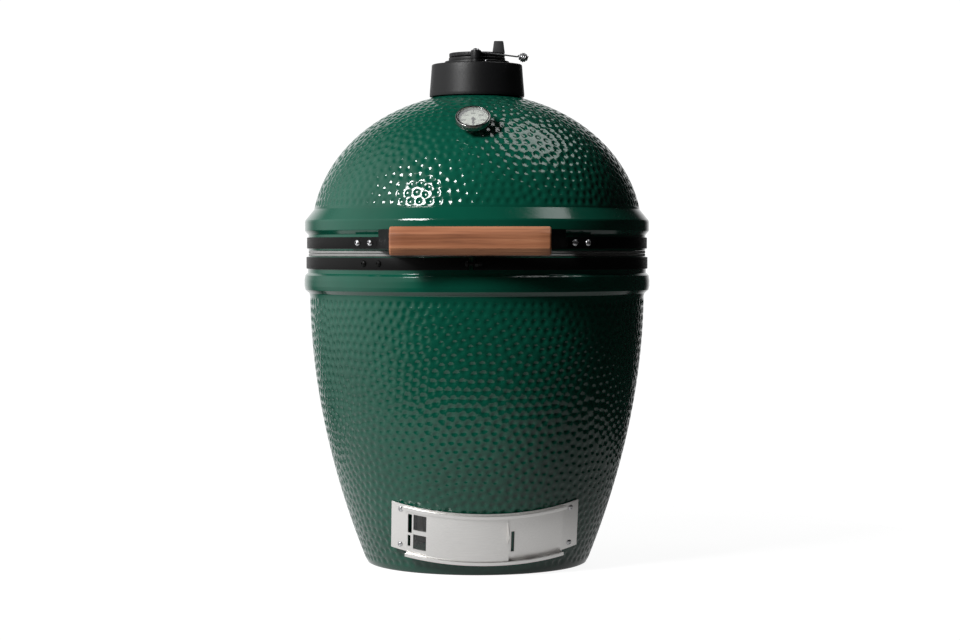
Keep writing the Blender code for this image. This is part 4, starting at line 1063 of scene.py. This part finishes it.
# ---- thermometer ----
def thermometer():
    case_r, face, floor_z = 0.0258, 0.0220, 0.0145
    wall_r, lip_r, lip_z = case_r - 0.0018, case_r - 0.0030, face - 0.0011
    well = [(0, floor_z), (wall_r, floor_z, 0.0003), (wall_r, lip_z), (lip_r, lip_z), (lip_r, face, 0.0004)]
    rim = [(case_r, face, 0.0012), (case_r, 0.0125, 0.0016)]
    stem = [(0.0080, 0.0125, 0.0006), (0.0080, 0.0016, 0.0004), (0.0030, 0.0016)]
    stem += [(0.0030, -0.078, 0.001), (0, -0.078)]
    case = turned("gauge_case", rounded(well + rim + stem), 96)
    place("gauge_case", case, GAUGE_STEEL, "dome", ["thermometer_case"], "stainless", at=DIAL)
    disc = rounded([(0, 0.0156), (0.0236, 0.0156, 0.0002), (0.0236, 0.0148), (0, 0.0148)])
    dial = turned("gauge_dial", disc, 96)
    place("gauge_dial", dial, DIAL_WHITE, "dome", ["thermometer_dial"], "dial", at=DIAL)
    glass = [(0, 0.0206), (0.008, 0.02055), (0.016, 0.0204), (0.0232, 0.0201), (0.0236, 0.0200)]
    glass += [(0.0236, 0.0194), (0, 0.0194)]
    pane = turned("gauge_glass", glass, 96)
    place("gauge_glass", pane, LENS, "dome", ["thermometer_lens"], "lens", at=DIAL)


def thermometer_scale():
    """Ticks, heavier every fifth, and plain round numbers."""
    marks, start, sweep, surface = [], -145, 290, 0.01568
    for k in range(31):
        heavy = k % 5 == 0
        a = radians(start + sweep * k / 30)
        width, length = (0.0011, 0.0036) if heavy else (0.0006, 0.0022)
        tick = block("tick", (width, length, 0.0001), 0.00002, at=(0, 0.0222 - length / 2, surface))
        tick.transform(Matrix.Rotation(-a, 4, "Z"))
        marks.append(tick)
    for k in range(7):
        a = radians(start + sweep * k / 6)
        font = bpy.data.curves.new("number", "FONT")
        font.body, font.size, font.extrude, font.offset = str(50 * (k + 1)), 0.0050, 0.00005, 0.00008
        font.align_x, font.align_y = "CENTER", "CENTER"
        guide = linked("number", font)
        bpy.context.view_layer.update()
        number = bpy.data.meshes.new_from_object(guide.evaluated_get(bpy.context.evaluated_depsgraph_get()))
        bpy.data.objects.remove(guide)
        number.transform(Matrix.Translation((0.0148 * sin(a), 0.0148 * cos(a), surface)))
        marks.append(number)
    place("gauge_scale", joined("gauge_scale", marks), PRINT, "dome", (), "needle", at=DIAL)


def thermometer_needle():
    profile = [(0, 0.0182), (0.0022, 0.0180), (0.0026, 0.0172), (0.0026, 0.0161), (0, 0.0161)]
    hub = turned("hub", profile, 32)
    outline = ((-0.0012, 0.004), (0.0012, 0.004), (0.0009, -0.010), (0, -0.0167), (-0.0009, -0.010))
    verts = [(x, y, z) for z in (0.0165, 0.0171) for x, y in outline]
    lower, upper = list(range(5)), list(range(5, 10))
    blade = solid("blade", verts, skin([lower, upper]) + [lower, upper[::-1]])
    needle = joined("gauge_needle", [hub, blade])
    place("gauge_needle", needle, NEEDLE, "needle", ["thermometer_needle"], "needle", at=DIAL)


# ---- the grill ----
base_ceramic()
dome_ceramic()
seals()
fire_parts()
cooking_grid()
straps()
handle()
fasteners()
springs()
vent_cap()
vent_lid()
vent_wheel()
vent_lever()
draft_frame()
screen_door()
draft_door()
thermometer()
thermometer_scale()
thermometer_needle()

# pieces that keep their CAD shape
KEPT = {
    CAST_IRON: ["fire_grate"],
    BLACK_STEEL: [
        *(f"{strap}_band_{part}" for strap in ("lower", "upper") for part in ("bolt", "nut")),
        *(f"handle_bracket_{side}" for side in ("left", "right")),
        *(f"hinge_{level}_bracket" for level in ("lower", "upper")),
    ],
    ZINC: ["hinge_pin", "spring_anchor_rod", "spring_hook_rod"],
    FELT: ["vent_cap_gasket"],
}
for finish, names in KEPT.items():
    for name in names:
        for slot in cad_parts[name].material_slots:
            slot.link = "OBJECT"
            slot.material = finish


# ---- floor ----
def pale_floor():
    """White to the eye; in reflections, brighter on the left than on the right."""
    made = Finish("pale_floor", Specular_IOR_Level=0.0)
    cloud = made.noise(3.0)
    made.colour(made.ramp(cloud, ((0.3, (0.21, 0.21, 0.21)), (0.7, (0.24, 0.24, 0.24)))))
    made.roughness(made.spread(cloud, 0.8, 0.9))
    made.shader.inputs["Emission Color"].default_value = (1, 1, 1, 1)
    path, side = made.node("LightPath"), made.node("SeparateXYZ", {"Vector": made.place}).outputs[0]
    mirrored = made.node("Math", {0: path.outputs["Is Glossy Ray"]}, operation="MULTIPLY")
    made.tree.links.new(made.spread(side, 0.66, 0.16, -0.25, 0.45), mirrored.inputs[1])
    seen = made.spread(path.outputs["Is Camera Ray"], 0.0, 0.92, 0, 1)
    total = made.node("Math", {0: seen, 1: mirrored.outputs[0]}, operation="ADD")
    made.tree.links.new(total.outputs[0], made.shader.inputs["Emission Strength"])
    return made.material


FLOOR_R, FLOOR_SIDES = 0.85, 96
edge = [(*p, 0) for p in arc(FLOOR_R, 0, 360, FLOOR_SIDES)[:-1]]
floor_mesh = bpy.data.meshes.new("floor")
floor_mesh.from_pydata(edge, [], [list(range(FLOOR_SIDES))])
floor_mesh.materials.append(pale_floor())
floor = linked("floor", floor_mesh)
